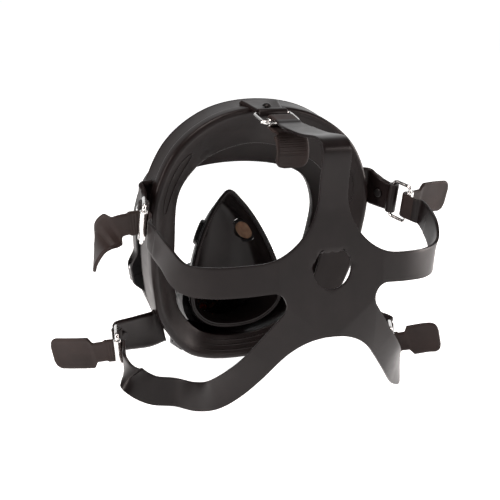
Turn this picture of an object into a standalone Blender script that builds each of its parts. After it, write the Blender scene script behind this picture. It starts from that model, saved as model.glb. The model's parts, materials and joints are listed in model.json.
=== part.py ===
"""Full face respirator: rubber face blank, panoramic visor, nose cup, threaded connector,
exhalation valve and a five-arm head harness held by roller buckles.

World frame: +Z up, the mask looks towards -Y, the wearer's left is +X. Sizes are in millimetres
and become metres when a mesh is made.
"""
import bpy
import bmesh
import math
import numpy as np
from mathutils import Matrix, Vector

MM = 0.001
GAP = 0.3                      # clearance between pieces that touch
SCREW_SEAT = 5.5               # from the frame's split to each seat of the clamp screw
BOX_CENTRE_SHIFT = 19.0        # moves the assembly along Y so that its box is centred on the origin

# Facepiece frame: the rim plane stands upright in it, and the whole frame leans back.
LEAN = math.radians(12.4)
CHIN = (0.0, -49.0 + BOX_CENTRE_SHIFT, 10.0)

# Half outlines from the top centre round the wearer's left side to the chin: x, y, z.
RIM = ((0, 0, 217.5), (42, 3, 211), (76, 9, 188), (93, 14, 150), (92.5, 15, 112),
       (87, 12, 76), (75, 7, 42), (46, 2, 9), (0, 0, 0))
APERTURE = ((0, -52, 158), (38, -50.5, 154.5), (63, -46, 144.5), (73, -42, 122), (72.5, -42, 96),
            (67.5, -43, 70), (59, -46, 46), (36, -56, 15), (0, -60, 3))
LIP = ((0, -16, 183), (34, -12, 177), (56, -5, 164), (67, -1, 145), (67, 0, 110),
       (64, -2, 76), (56, -5, 48), (33, -9, 24), (0, -10, 17))
CUP_RIM = ((0, -52, 130), (10, -49, 122), (21, -43, 108), (31, -35, 90), (38, -27, 72),
           (41, -21, 55), (38, -18, 39), (23, -18, 26), (0, -18, 22))
CUP_MIDDLE = ((0, -68, 112), (9, -66, 106), (18, -61, 95), (26, -55, 80), (31, -50, 65),
              (33, -47, 50), (30, -45, 35), (19, -44, 24), (0, -44, 18))
STEPS_PER_SPAN = 3             # mesh steps between two outline points
ROUND = 36                     # sides of the large round pieces

FLANGE_DEPTH = 25.0
FLANGE_WALL = 4.0
WALL = 3.2
LIP_THICKNESS = 1.8
BEAD = 8.0                     # face blank's bead outside the visor aperture
VISOR_THICKNESS = 2.5
VISOR_EDGE = 4.0               # how far the visor reaches into the bead
VISOR_CENTRE = (0.0, -101.0, 84.0)
VISOR_ROWS = 7
DOME_POWER = 0.8               # below 1 gives the dome a fuller shoulder than an ellipse
CUP_THICKNESS = 2.0

# Connector frame: its +Z looks forward along world -Y.
CONNECTOR = (0.0, -104.0 + BOX_CENTRE_SHIFT, 50.0)
HOUSING_RADIUS = 25.2
HOUSING_LENGTH = 26.0
COLLAR_RADIUS = 30.0
COLLAR_LENGTH = 14.0
THREAD_BORE = 20.4
THREAD_PITCH = 3.63
THREAD_TURNS = 3

# Exhalation chamber under the connector, in world millimetres.
CHAMBER_HALF_WIDTH = 24.0
CHAMBER_REAR = -124.6 + BOX_CENTRE_SHIFT
CHAMBER_FRONT = -151.0 + BOX_CENTRE_SHIFT
CHAMBER_TOP = 27.0
CHAMBER_FLOOR = 9.0
CHAMBER_WALL = 2.0
EXHALE_RADIUS = 9.5

# Harness
STRAP = 22.0
STRAP_THICKNESS = 2.2
HUB = (0.0, 107.0 + BOX_CENTRE_SHIFT, 116.0)
HUB_HOLE = 15.5

# Roller buckle: bar A at the origin, bar B along +Y, both along X.
BUCKLE_HALF_WIDTH = 15.0
BUCKLE_REACH = 17.0
WIRE = 1.5
ROLLER = 3.0
EYE = 4.2
WRAP_CLEAR = 0.5
STUD_DISTANCE = 12.0           # from bar A


def clear_scene():
    for obj in list(bpy.data.objects):
        bpy.data.objects.remove(obj, do_unlink=True)


def material(name, colour, roughness, metallic=0.0, alpha=1.0):
    mat = bpy.data.materials.new(name)
    mat.use_nodes = True
    shader = mat.node_tree.nodes["Principled BSDF"]
    shader.inputs["Base Color"].default_value = (*colour, 1.0)
    shader.inputs["Roughness"].default_value = roughness
    shader.inputs["Metallic"].default_value = metallic
    shader.inputs["Alpha"].default_value = alpha
    mat.diffuse_color = (*colour, alpha)
    return mat


def empty(name, location=(0, 0, 0), rotation=None, parent=None):
    obj = bpy.data.objects.new(name, None)
    bpy.context.collection.objects.link(obj)
    obj.parent = parent
    obj.location = Vector(location) * MM
    if rotation is not None:
        obj.rotation_mode = "QUATERNION"
        obj.rotation_quaternion = rotation.to_quaternion()
    return obj


def mesh_object(name, verts, faces, mat, parent=None, sharp=35.0):
    mesh = bpy.data.meshes.new(name)
    mesh.from_pydata([Vector(v) * MM for v in verts], [], faces)
    bm = bmesh.new()
    bm.from_mesh(mesh)
    bmesh.ops.remove_doubles(bm, verts=bm.verts, dist=0.01 * MM)
    bmesh.ops.recalc_face_normals(bm, faces=bm.faces)
    bm.to_mesh(mesh)
    bm.free()
    mesh.shade_smooth()
    mesh.set_sharp_from_angle(angle=math.radians(sharp))
    mesh.materials.append(mat)
    obj = bpy.data.objects.new(name, mesh)
    bpy.context.collection.objects.link(obj)
    obj.parent = parent
    return obj


def guide(obj):
    """Marks an object as a cutter or an operand that isn't a piece itself."""
    obj.hide_render = True
    obj.display_type = "WIRE"
    return obj


def boolean(obj, other, operation):
    modifier = obj.modifiers.new(f"{operation.lower()} {other.name}", "BOOLEAN")
    modifier.operation = operation
    modifier.solver = "EXACT"
    modifier.object = guide(other)


def solidify(obj, thickness, offset=-1.0):
    modifier = obj.modifiers.new("thickness", "SOLIDIFY")
    modifier.thickness = thickness * MM
    modifier.offset = offset
    modifier.use_even_offset = True


def curve_point(p0, p1, p2, p3, t):
    """Point of a Catmull-Rom span between p1 and p2."""
    return 0.5 * (2 * p1 + (p2 - p0) * t + (2 * p0 - 5 * p1 + 4 * p2 - p3) * t ** 2
                  + (3 * p1 - p0 - 3 * p2 + p3) * t ** 3)


def open_curve(points, steps):
    """Smooth curve through the points, with the given number of steps in each span."""
    pts = [np.array(p, float) for p in points]
    pts = [2 * pts[0] - pts[1]] + pts + [2 * pts[-1] - pts[-2]]
    out = []
    for i in range(1, len(pts) - 2):
        for k in range(steps):
            out.append(curve_point(*pts[i - 1:i + 3], k / steps))
    out.append(pts[-2])
    return out


def closed_ring(half):
    """Closed loop from a half outline, mirrored in x = 0; clockwise seen from the front."""
    left = [np.array(p, float) for p in half]
    right = [p * np.array((-1, 1, 1)) for p in left[-2:0:-1]]
    pts = left + right
    count = len(pts)
    ring = []
    for i in range(count):
        span = [pts[(i + k) % count] for k in (-1, 0, 1, 2)]
        for k in range(STEPS_PER_SPAN):
            ring.append(curve_point(*span, k / STEPS_PER_SPAN))
    return np.array(ring)


def shifted(ring, outward, forward=0.0):
    """A ring moved outward in its own x-z outline, and forward along -y."""
    tangent = np.roll(ring, -1, axis=0) - np.roll(ring, 1, axis=0)
    normal = np.stack([-tangent[:, 2], np.zeros(len(ring)), tangent[:, 0]], axis=1)
    normal /= np.linalg.norm(normal, axis=1)[:, None]
    middle = ring.mean(axis=0)
    side = np.sign(np.einsum("ij,ij->i", normal, ring - middle))
    return ring + normal * (side * outward)[:, None] + np.array((0.0, -forward, 0.0))


def loft(rings, close_rows=True, caps=False):
    """Vertices and faces between rings of equal length; close_rows joins the last ring to the first."""
    count = len(rings[0])
    verts = [tuple(p) for ring in rings for p in ring]
    faces = []
    rows = len(rings)
    for r in range(rows if close_rows else rows - 1):
        a = r * count
        b = (r + 1) % rows * count
        for k in range(count):
            n = (k + 1) % count
            faces.append((a + k, a + n, b + n, b + k))
    if caps:
        faces.append(tuple(range(count)))
        faces.append(tuple(range((rows - 1) * count, rows * count)))
    return verts, faces


def sweep(sections, capped=True):
    """Solid through a row of equal cross-sections, each a closed loop of points."""
    return loft(sections, close_rows=not capped, caps=capped)


def lathe(name, profile, mat, parent=None, steps=40):
    """Solid turned about Z from a closed profile of (radius, z) points."""
    sections = []
    for k in range(steps):
        angle = 2 * math.pi * k / steps
        sections.append([(r * math.cos(angle), r * math.sin(angle), z) for r, z in profile])
    verts, faces = sweep(sections, capped=False)
    obj = mesh_object(name, verts, faces, mat, parent)
    return drop_flat_faces(obj)


def drop_flat_faces(obj):
    """Clears the zero-area faces and the loose edge that a profile leaves on its axis."""
    bm = bmesh.new()
    bm.from_mesh(obj.data)
    bmesh.ops.dissolve_degenerate(bm, dist=0.005 * MM, edges=bm.edges)
    bmesh.ops.delete(bm, geom=[edge for edge in bm.edges if edge.is_wire], context="EDGES")
    bmesh.ops.recalc_face_normals(bm, faces=bm.faces)
    bm.to_mesh(obj.data)
    bm.free()
    return obj


def ring_profile(inner, outer, low, high):
    return ((inner, low), (outer, low), (outer, high), (inner, high))


def plug_profile(radius, low, high):
    return ((0.0, low), (radius, low), (radius, high), (0.0, high))


def box(name, low, high, mat, parent=None):
    corners = [(x, y, z) for z in (low[2], high[2]) for y in (low[1], high[1]) for x in (low[0], high[0])]
    faces = [(0, 2, 3, 1), (4, 5, 7, 6), (0, 1, 5, 4), (2, 6, 7, 3), (0, 4, 6, 2), (1, 3, 7, 5)]
    return mesh_object(name, corners, faces, mat, parent)


def wire_loop(name, path, radius, mat, parent, sides=6):
    """Round wire along a closed path that lies in the x-y plane."""
    count = len(path)
    sections = []
    for k in range(count):
        tangent = np.array(path[(k + 1) % count]) - np.array(path[k - 1])
        tangent = tangent / np.linalg.norm(tangent)
        across = np.cross(tangent, (0, 0, 1))
        section = []
        for s in range(sides):
            angle = 2 * math.pi * s / sides
            offset = across * math.cos(angle) + np.array((0, 0, 1)) * math.sin(angle)
            section.append(tuple(np.array(path[k]) + radius * offset))
        sections.append(section)
    verts, faces = sweep(sections, capped=False)
    mesh_object(name, verts, faces, mat, parent, sharp=60.0)


def ribbon_sections(centres, across, half_widths, thickness):
    """Rectangular cross-sections of a strap along its centre line."""
    sections = []
    last = len(centres) - 1
    for k, centre in enumerate(centres):
        tangent = np.array(centres[min(k + 1, last)]) - np.array(centres[max(k - 1, 0)])
        wide = np.array(across[k], float)
        wide -= tangent * wide.dot(tangent) / tangent.dot(tangent)
        wide /= np.linalg.norm(wide)
        normal = np.cross(tangent, wide)
        normal /= np.linalg.norm(normal)
        half = half_widths[k]
        lift = normal * thickness / 2
        sections.append([centre - wide * half - lift, centre + wide * half - lift,
                         centre + wide * half + lift, centre - wide * half + lift])
    return sections


def ribbon(name, centres, across, half_widths, thickness, mat, parent=None):
    verts, faces = sweep(ribbon_sections(centres, across, half_widths, thickness))
    return mesh_object(name, verts, faces, mat, parent)


# ---------------------------------------------------------------- facepiece

def between(a, b, share):
    return a + (b - a) * share


def face_blank(mat, frame):
    """Rubber body: one closed cross-section carried round the rim, from flange to visor bead and lip."""
    rim = closed_ring(RIM)
    aperture = closed_ring(APERTURE)
    lip = closed_ring(LIP)
    step = shifted(rim, -6.0, FLANGE_DEPTH + 1.5)
    bead_rear = shifted(aperture, BEAD, -4.0)
    wall = shifted(between(step, bead_rear, 0.5), 1.5)
    rings = [
        shifted(rim, 0.0, 0.5),
        shifted(rim, 0.0, FLANGE_DEPTH),
        step,
        wall,
        bead_rear,
        shifted(aperture, BEAD, 5.0),
        shifted(aperture, VISOR_EDGE + GAP, 5.0),
        shifted(aperture, VISOR_EDGE + GAP, -2.2),
        shifted(aperture, 0.1, -2.2),
        shifted(aperture, 0.1, 1.4),
        shifted(aperture, -1.4, 1.4),
        shifted(aperture, -1.4, -4.5),
        shifted(wall, -2.4, -WALL),
        shifted(step, -2.6, -WALL),
        shifted(rim, -FLANGE_WALL, FLANGE_DEPTH - 5.0),
        shifted(rim, -FLANGE_WALL, 5.0),
        shifted(lip, 0.0, LIP_THICKNESS),
        lip,
        shifted(rim, -3.5, -1.5),
    ]
    verts, faces = loft(rings)
    return mesh_object("face_blank", verts, faces, mat, frame)


def visor(mat, frame):
    """Panoramic visor: a fuller-than-elliptical dome on the aperture outline, open at the connector."""
    edge = shifted(closed_ring(APERTURE), VISOR_EDGE, -1.0)
    centre = np.array(VISOR_CENTRE)
    rows = []
    for r in range(VISOR_ROWS):
        angle = math.pi / 2 * r / VISOR_ROWS
        narrow = math.cos(angle) ** DOME_POWER
        rise = math.sin(angle) ** DOME_POWER
        scale = np.array((narrow, 1 - rise, narrow))
        rows.append(centre + (edge - centre) * scale)
    verts, faces = loft(rows, close_rows=False)
    count = len(edge)
    verts.append(tuple(centre))
    last = (VISOR_ROWS - 1) * count
    for k in range(count):
        faces.append((last + k, last + (k + 1) % count, len(verts) - 1))
    obj = mesh_object("visor", verts, faces, mat, frame)
    face_outward(obj, Vector((0, 0, VISOR_CENTRE[2])) * MM)
    solidify(obj, VISOR_THICKNESS)
    return obj


def face_outward(obj, inside):
    """Turns an open sheet's faces away from a point."""
    mesh = obj.data
    total = sum((p.center - inside).dot(p.normal) * p.area for p in mesh.polygons)
    if total < 0:
        mesh.flip_normals()


def frame_section(aperture, index, ear):
    """Cross-section of the clamp frame at one station; an ear thickens it outward for the screw."""
    def at(outward, forward):
        return shifted(aperture, outward, forward)[index]
    outer = BEAD + 3.6 + ear
    return [at(BEAD + GAP, -3.0), at(outer, -3.0), at(outer, 7.5), at(VISOR_EDGE + 0.8, 7.5),
            at(VISOR_EDGE + 0.8, 5.0 + GAP), at(BEAD + GAP, 5.0 + GAP)]


def frame_half(name, mat, frame, stations):
    aperture = closed_ring(APERTURE)
    last = len(stations) - 1
    sections = []
    for k, index in enumerate(stations):
        ear = 7.0 if k in (0, last) else (6.0 if k in (1, last - 1) else 0.0)
        sections.append(frame_section(aperture, index % len(aperture), ear))
    for end, inner in ((0, 1), (last, last - 1)):
        step = np.array(sections[inner]).mean(axis=0) - np.array(sections[end]).mean(axis=0)
        step *= GAP / np.linalg.norm(step)
        sections[end] = [point + step for point in sections[end]]
    verts, faces = sweep(sections)
    return mesh_object(name, verts, faces, mat, frame)


SPLIT = 5 * STEPS_PER_SPAN     # station where the upper and the lower frame meet on the left side


def split_point(side):
    """Centre of the screw ears, and the direction of the screw, in the facepiece frame."""
    aperture = closed_ring(APERTURE)
    middle = shifted(aperture, BEAD + 7.5, 2.2)
    here = middle[SPLIT]
    ahead = middle[SPLIT - 1]
    axis = (ahead - here) / np.linalg.norm(ahead - here)
    flip = np.array((side, 1, 1))
    return here * flip, axis * flip


def visor_frames(mat, frame, connector):
    count = len(closed_ring(APERTURE))
    upper = frame_half("visor_frame_upper", mat, frame, list(range(-SPLIT, SPLIT + 1)))
    lower = frame_half("visor_frame_lower", mat, frame, list(range(SPLIT, count - SPLIT + 1)))
    for side, label in ((1, "left"), (-1, "right")):
        centre, axis = split_point(side)
        turn = Vector(axis).to_track_quat("Z", "Y").to_matrix()
        place = empty(f"frame_screw_{label}_place", centre, turn, frame)
        spot_faced = ((0.0, -24.0), (3.8, -24.0), (3.8, -SCREW_SEAT), (1.9, -SCREW_SEAT), (1.9, SCREW_SEAT),
                      (3.8, SCREW_SEAT), (3.8, 24.0), (0.0, 24.0))
        hole = lathe(f"frame_screw_{label}_hole", spot_faced, mat, place, steps=16)
        boolean(upper, hole, "DIFFERENCE")
        boolean(lower, hole, "DIFFERENCE")
    sleeve = plug_profile(COLLAR_RADIUS, 0.0, COLLAR_LENGTH)
    bore = plug_profile(HOUSING_RADIUS + GAP, -1.0, 60.0)
    collar = lathe("lower_frame_collar", sleeve, mat, connector, ROUND)
    housing_cut = lathe("lower_frame_bore", bore, mat, connector, ROUND)
    boolean(lower, collar, "UNION")
    boolean(lower, housing_cut, "DIFFERENCE")


def open_front(body, lens, mat, connector):
    """Cuts the round opening for the collar and the housing through the visor and the blank's bead."""
    opening = plug_profile(COLLAR_RADIUS + GAP, -GAP, 60.0)
    collar_cut = lathe("collar_opening", opening, mat, connector, ROUND)
    boolean(lens, collar_cut, "DIFFERENCE")
    boolean(body, collar_cut, "DIFFERENCE")


def frame_screws(mat, frame):
    for side, label in ((1, "left"), (-1, "right")):
        place = bpy.data.objects[f"frame_screw_{label}_place"]
        head = SCREW_SEAT + GAP
        screw = ((0.0, head + 2.6), (2.2, head + 2.6), (3.2, head + 1.6), (3.2, head), (1.6, head),
                 (1.6, -head - 4.0), (0.0, -head - 4.0))
        lathe(f"frame_screw_{label}", screw, mat, place, steps=16)
        nut = ring_profile(1.6 + GAP, 3.2, -head - 2.8, -head)
        lathe(f"frame_nut_{label}", nut, mat, place, steps=6)


# ---------------------------------------------------------------- nose cup and its check valves

CHECK_VALVE = (20.0, -56.5, 92.0)
CHECK_NORMAL = (0.80, -0.56, 0.22)
CHECK_HOLE = 11.0


def to_facepiece(point):
    """A world point, in millimetres, in the facepiece frame."""
    offset = Vector(point) - Vector(CHIN)
    return np.array(Matrix.Rotation(LEAN, 3, "X") @ offset)


def front_ring(count, radius, forward):
    """Circle about the connector axis, in the facepiece frame, starting at its top."""
    ring = []
    for k in range(count):
        angle = 2 * math.pi * k / count
        world = (radius * math.sin(angle), CONNECTOR[1] - forward, CONNECTOR[2] + radius * math.cos(angle))
        ring.append(to_facepiece(world))
    return np.array(ring)


def nose_cup(mat, frame):
    rim = closed_ring(CUP_RIM)
    middle = closed_ring(CUP_MIDDLE)
    count = len(rim)
    throat = front_ring(count, 21.0, -9.0)
    sleeve = front_ring(count, 21.0, -GAP)
    rolled = shifted(rim, -2.5, -1.5)
    rows = [rolled, rim, between(rim, middle, 0.5), middle, between(middle, throat, 0.5), throat, sleeve]
    verts, faces = loft(rows, close_rows=False)
    obj = mesh_object("nose_cup", verts, faces, mat, frame)
    face_outward(obj, Vector((0, -45, 60)) * MM)
    solidify(obj, CUP_THICKNESS)
    return obj


def check_valves(seat_mat, disc_mat, cup, frame):
    """Side valves of the nose cup: a spoked seat set in the wall, and a disc on its inner face."""
    for side, label in ((1, "left"), (-1, "right")):
        flip = Vector((side, 1, 1))
        normal = Vector(CHECK_NORMAL) * flip
        turn = normal.to_track_quat("Z", "Y").to_matrix()
        place = empty(f"check_valve_{label}_place", Vector(CHECK_VALVE) * flip, turn, frame)
        bore = plug_profile(CHECK_HOLE + GAP, -9.0, 9.0)
        hole = lathe(f"check_valve_hole_{label}", bore, seat_mat, place, 32)
        boolean(cup, hole, "DIFFERENCE")
        collar = ring_profile(8.6, CHECK_HOLE, -2.6, 3.0)
        seat = lathe(f"check_valve_seat_{label}", collar, seat_mat, place, 32)
        add_spider(seat, place, seat_mat, 9.4, 1.2, (0.4, 1.8), 4)
        lathe(f"check_valve_disc_{label}", plug_profile(8.2, -1.4, -0.6), disc_mat, place, 28)


def add_spider(ring, place, mat, reach, half_width, heights, arms):
    """Joins a star of straight spokes to a ring."""
    notch = half_width / math.sin(math.pi / arms)
    outline = []
    for k in range(arms):
        angle = 2 * math.pi * k / arms
        for r, t in ((reach, -half_width), (reach, half_width)):
            x = r * math.cos(angle) - t * math.sin(angle)
            y = r * math.sin(angle) + t * math.cos(angle)
            outline.append((x, y))
        middle = angle + math.pi / arms
        outline.append((notch * math.cos(middle), notch * math.sin(middle)))
    sections = [[(x, y, z) for x, y in outline] for z in heights]
    verts, faces = sweep(sections)
    star = mesh_object(f"{ring.name}_star", verts, faces, mat, place)
    boolean(ring, star, "UNION")


# ---------------------------------------------------------------- connector and inhalation valve

def housing(mat, connector):
    """Round port with an inner shoulder, and the exhalation chamber under its front end."""
    profile = ((20.5, 0.0), (HOUSING_RADIUS, 0.0), (HOUSING_RADIUS, HOUSING_LENGTH), (20.5, HOUSING_LENGTH),
               (20.5, 21.5), (16.6, 21.5), (16.6, 19.5), (20.5, 19.5))
    body = lathe("connector_housing", profile, mat, connector, ROUND)
    low = (-CHAMBER_HALF_WIDTH, CHAMBER_FRONT, CHAMBER_FLOOR)
    high = (CHAMBER_HALF_WIDTH, CHAMBER_REAR, CHAMBER_TOP)
    chamber = box("chamber_block", low, high, mat)
    cavity_low = (low[0] + CHAMBER_WALL, low[1] + CHAMBER_WALL, low[2] - 5.0)
    cavity_high = (high[0] - CHAMBER_WALL, high[1] - CHAMBER_WALL, 20.0)
    cavity = box("chamber_cavity", cavity_low, cavity_high, mat)
    front = HOUSING_LENGTH - 0.2
    clearance = plug_profile(HOUSING_RADIUS + GAP, front, 80.0)
    recess = lathe("connector_recess", clearance, mat, connector, ROUND)
    port = lathe("exhale_port", plug_profile(EXHALE_RADIUS, CHAMBER_FLOOR, 23.8), mat, steps=28)
    port.location = Vector((0, (CHAMBER_FRONT + CHAMBER_REAR) / 2, 0)) * MM
    duct = lathe("exhale_duct", plug_profile(1.9, 22.6, 33.0), mat, steps=10)
    duct.location = Vector((0.4, CHAMBER_REAR - 3.3, 0)) * MM
    plenum = box("exhale_plenum", (-5.0, CHAMBER_REAR - 9.0, 22.0), (5.0, CHAMBER_REAR - 2.0, 23.3), mat)
    boolean(body, chamber, "UNION")
    boolean(body, recess, "DIFFERENCE")
    boolean(body, cavity, "DIFFERENCE")
    boolean(body, port, "DIFFERENCE")
    boolean(body, plenum, "DIFFERENCE")
    boolean(body, duct, "DIFFERENCE")


def connector_pieces(mats, connector):
    """Everything on the connector axis in front of the nose cup."""
    plastic = mats["plastic"]
    grid = lathe("inhalation_valve_grid", ring_profile(14.6, 20.2, 14.2, 16.4), plastic, connector, ROUND)
    add_spider(grid, connector, mats["plastic"], 16.0, 0.9, (14.4, 16.0), 8)
    inner = lathe("inhalation_grid_ring", ring_profile(7.2, 9.2, 14.4, 16.0), plastic, connector, 28)
    boolean(grid, inner, "UNION")
    seat = lathe("inhalation_valve_seat", ring_profile(14.2, 20.2, 21.8, 24.0), plastic, connector, ROUND)
    add_spider(seat, connector, mats["plastic"], 15.2, 0.9, (22.4, 24.0), 6)
    flap = plug_profile(15.6, 20.7, 21.5)
    lathe("inhalation_valve_disc", flap, mats["silicone"], connector, ROUND)
    lathe("connector_gasket", ring_profile(16.0, 20.1, 24.3, 26.3), mats["rubber"], connector, ROUND)
    lathe("threaded_connector", thread_profile(), plastic, connector, ROUND)
    clamp = ring_profile(HOUSING_RADIUS + GAP, 29.3, COLLAR_LENGTH + GAP, 20.2)
    lathe("connector_clamp_ring", clamp, plastic, connector, ROUND)


def thread_profile():
    """Socket with a ridge for each turn of its internal thread."""
    low = HOUSING_LENGTH + GAP
    top = low + 3.0 + THREAD_PITCH * THREAD_TURNS
    profile = [(HOUSING_RADIUS, low), (HOUSING_RADIUS, top), (THREAD_BORE + 0.6, top)]
    for k in range(THREAD_TURNS):
        ridge = top - 1.5 - THREAD_PITCH * k
        profile += [(THREAD_BORE + 1.4, ridge), (THREAD_BORE, ridge - 1.2),
                    (THREAD_BORE, ridge - 2.0), (THREAD_BORE + 1.4, ridge - 3.2)]
    profile.append((THREAD_BORE, low))
    return tuple(profile)


# ---------------------------------------------------------------- exhalation valve

def exhalation_valve(mats):
    """Seat, disc and spring on a vertical axis in the chamber, closed below by a slotted cover."""
    place = empty("exhalation_axis", (0, (CHAMBER_FRONT + CHAMBER_REAR) / 2, 0))
    collar = ring_profile(EXHALE_RADIUS - 1.5, 10.8, 16.6, 19.7)
    seat = lathe("exhalation_valve_seat", collar, mats["plastic"], place, 32)
    add_spider(seat, place, mats["plastic"], EXHALE_RADIUS, 0.8, (17.6, 19.0), 4)
    lathe("exhalation_valve_disc", plug_profile(10.4, 15.4, 16.3), mats["silicone"], place, 32)
    spring("exhalation_valve_spring", mats["steel"], place, 3.6, 0.4, 3.4, 15.0)
    cover(mats["plastic"], place)


def spring(name, mat, parent, radius, wire, low, high, turns=3, steps=10, sides=4):
    """Compression coil: a tube swept along a helix."""
    sections = []
    total = turns * steps
    for k in range(total + 1):
        angle = 2 * math.pi * k / steps
        height = low + wire + (high - low - 2 * wire) * k / total
        section = []
        for s in range(sides):
            turn = 2 * math.pi * s / sides
            r = radius + wire * math.cos(turn)
            section.append((r * math.cos(angle), r * math.sin(angle), height + wire * math.sin(turn)))
        sections.append(section)
    verts, faces = sweep(sections)
    return mesh_object(name, verts, faces, mat, parent, sharp=80.0)


def cover(mat, place):
    """Shallow tray under the chamber, with outlet slots in its front and side walls."""
    half_depth = (CHAMBER_REAR - CHAMBER_FRONT) / 2
    low = (-CHAMBER_HALF_WIDTH, -half_depth, 0.0)
    high = (CHAMBER_HALF_WIDTH, half_depth, CHAMBER_FLOOR - GAP)
    tray = box("exhalation_cover", low, high, mat, place)
    inside_low = (low[0] + 2.0, low[1] + 2.0, 2.0)
    inside_high = (high[0] - 2.0, high[1] - 2.0, 20.0)
    boolean(tray, box("cover_inside", inside_low, inside_high, mat, place), "DIFFERENCE")
    boss = lathe("cover_spring_boss", plug_profile(2.6, 1.0, 3.0), mat, place, 16)
    for k in (-1, 0, 1):
        centre = k * 14.0
        near = (centre - 5.0, low[1] - 2.0, 3.6)
        far = (centre + 5.0, low[1] + 4.0, 6.6)
        slot = box(f"cover_slot_{k + 1}", near, far, mat, place)
        boolean(tray, slot, "DIFFERENCE")
    for side, label in ((1, "left"), (-1, "right")):
        near = (side * 20.0, -7.0, 3.6)
        far = (side * 27.0, 7.0, 6.6)
        slot = box(f"cover_side_slot_{label}", near, far, mat, place)
        boolean(tray, slot, "DIFFERENCE")
    boolean(tray, boss, "UNION")


# ---------------------------------------------------------------- buckles, lugs and strap tails

class Site:
    """One buckle: bar A carries it on the lug, bar B holds the strap.

    reach points from the lug towards the strap, bar runs along both bars, and their cross product
    points away from the head.
    """

    def __init__(self, name, strap_bar, reach, bar, root, side, tail, tail_across, wrap_end=180.0,
                 neck=13.0):
        self.name = name
        self.reach = Vector(reach).normalized()
        across = Vector(bar)
        self.bar = (across - self.reach * across.dot(self.reach)).normalized()
        self.out = self.bar.cross(self.reach)
        shift = Vector((0, BOX_CENTRE_SHIFT, 0))
        self.origin = Vector(strap_bar) + shift - self.reach * BUCKLE_REACH
        self.root = root
        self.side = side
        self.tail = tail
        self.tail_across = tail_across
        self.wrap_end = wrap_end
        self.neck = neck

    def matrix(self):
        return Matrix((self.bar, self.reach, self.out)).transposed()

    def world(self, point):
        return np.array(self.origin + self.matrix() @ Vector(point))


WRAP = ROLLER + WRAP_CLEAR + STRAP_THICKNESS / 2      # radius of the strap's middle round the roller
ARM_END = 11.5                                        # along reach beyond bar B, where an arm stops
JOIN_GAP = 2.6

# strap_bar, reach, bar and root are in world millimetres before the shift, root in the facepiece frame.
# side is +1 where the strap arrives on the inner side of the buckle, -1 where on the outer side.
# A tail's points are in the buckle's own frame.
SITES = (
    Site("top", (0, 25, 213), (0, 0.95, -0.30), (1, 0, 0), (0, -12, 218.5), -1,
         ((0, 32, -4.9), (0, 38, -7), (0, 42, -14), (0, 43, -26)), ((1, 0, 0),) * 4, 262.0, 6.0),
    Site("temple_left", (111, 23, 142), (0.33, 0.91, -0.24), (0, -0.25, -0.97), (93, 0, 147), 1,
         ((1, 13, 8), (4, 14, 18), (12, 14, 27), (26, 14, 32), (37, 13, 33)),
         ((1, 0, 0), (1, 0.1, 0), (0.9, 0.5, 0), (0.5, 1, 0), (0.2, 1, 0))),
    Site("temple_right", (-115, 23, 142), (-0.33, 0.91, -0.24), (0, 0.25, 0.97), (-93, 0, 147), 1,
         ((0, 12.4, 8), (0, 13, 20), (-1, 14, 36), (-3, 15, 52)), ((1, 0, 0),) * 4),
    Site("lower_left", (121, -8, 39), (0.30, 0.92, -0.25), (0, 0.26, -0.96), (72, -6, 36), 1,
         ((0, 12, 8), (2, 9, 21), (4, 3, 36), (6, -4, 51)), ((1, 0, 0),) * 4, 180.0, 9.0),
    Site("lower_right", (-119, -5, 18), (0.42, 0.89, -0.21), (0.10, 0.15, 0.97), (-72, -6, 36), 1,
         ((1, 13, 8), (4, 16, 18), (8, 20, 30), (10, 24, 40)), ((1, 0, 0),) * 4),
)


def facepiece_to_world(point):
    return np.array(Vector(CHIN) + Matrix.Rotation(-LEAN, 3, "X") @ Vector(point))


def rim_frame(root):
    """Outward and running directions of the rim nearest to a root point, in world axes."""
    rim = closed_ring(RIM)
    k = int(np.argmin(np.linalg.norm((rim - np.array(root)) * (1, 0, 1), axis=1)))
    ahead = rim[(k + 1) % len(rim)] - rim[k - 1]
    ahead /= np.linalg.norm(ahead)
    outward = shifted(rim, 1.0)[k] - rim[k]
    turn = Matrix.Rotation(-LEAN, 3, "X")
    return np.array(turn @ Vector(outward)), np.array(turn @ Vector(ahead))


def lug(site, mat, body):
    """Tapered rubber tab from the flange to an eye round bar A, moulded in one with the face blank."""
    outward, ahead = rim_frame(site.root)
    root = facepiece_to_world(site.root)
    bar = np.array(site.bar)
    if ahead.dot(bar) < 0:
        ahead = -ahead
    end = site.world((0, -2.9, 0))
    before = site.world((0, -site.neck, 0))
    leave = root + outward * 0.4 * site.neck + (before - root) * 0.12
    points = (root - outward * 1.5, leave, between(leave, before, 0.5), before, end)
    if site.neck < 8.0:
        points = (root - outward * 1.0, end)
    path = open_curve(points, 3)
    last = len(path) - 1
    across = [between(ahead * 0.6 + bar * 0.4, bar, k / last) for k in range(last + 1)]
    half = [between(17.0, 11.8, k / last) for k in range(last + 1)]
    tab = ribbon(f"lug_{site.name}", path, across, half, 3.2, mat)
    quarter = Matrix.Rotation(math.pi / 2, 3, "Y")
    place = empty(f"lug_{site.name}_eye_place", site.origin, site.matrix() @ quarter)
    eye = lathe(f"lug_{site.name}_eye", ring_profile(WIRE + GAP, EYE, -12.0, 12.0), mat, place, 14)
    boolean(body, tab, "UNION")
    boolean(body, eye, "UNION")
    bore = lathe(f"lug_{site.name}_bore", plug_profile(WIRE + GAP, -13.0, 13.0), mat, place, 12)
    boolean(body, bore, "DIFFERENCE")
    return stud_place(site, path, across)


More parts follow.
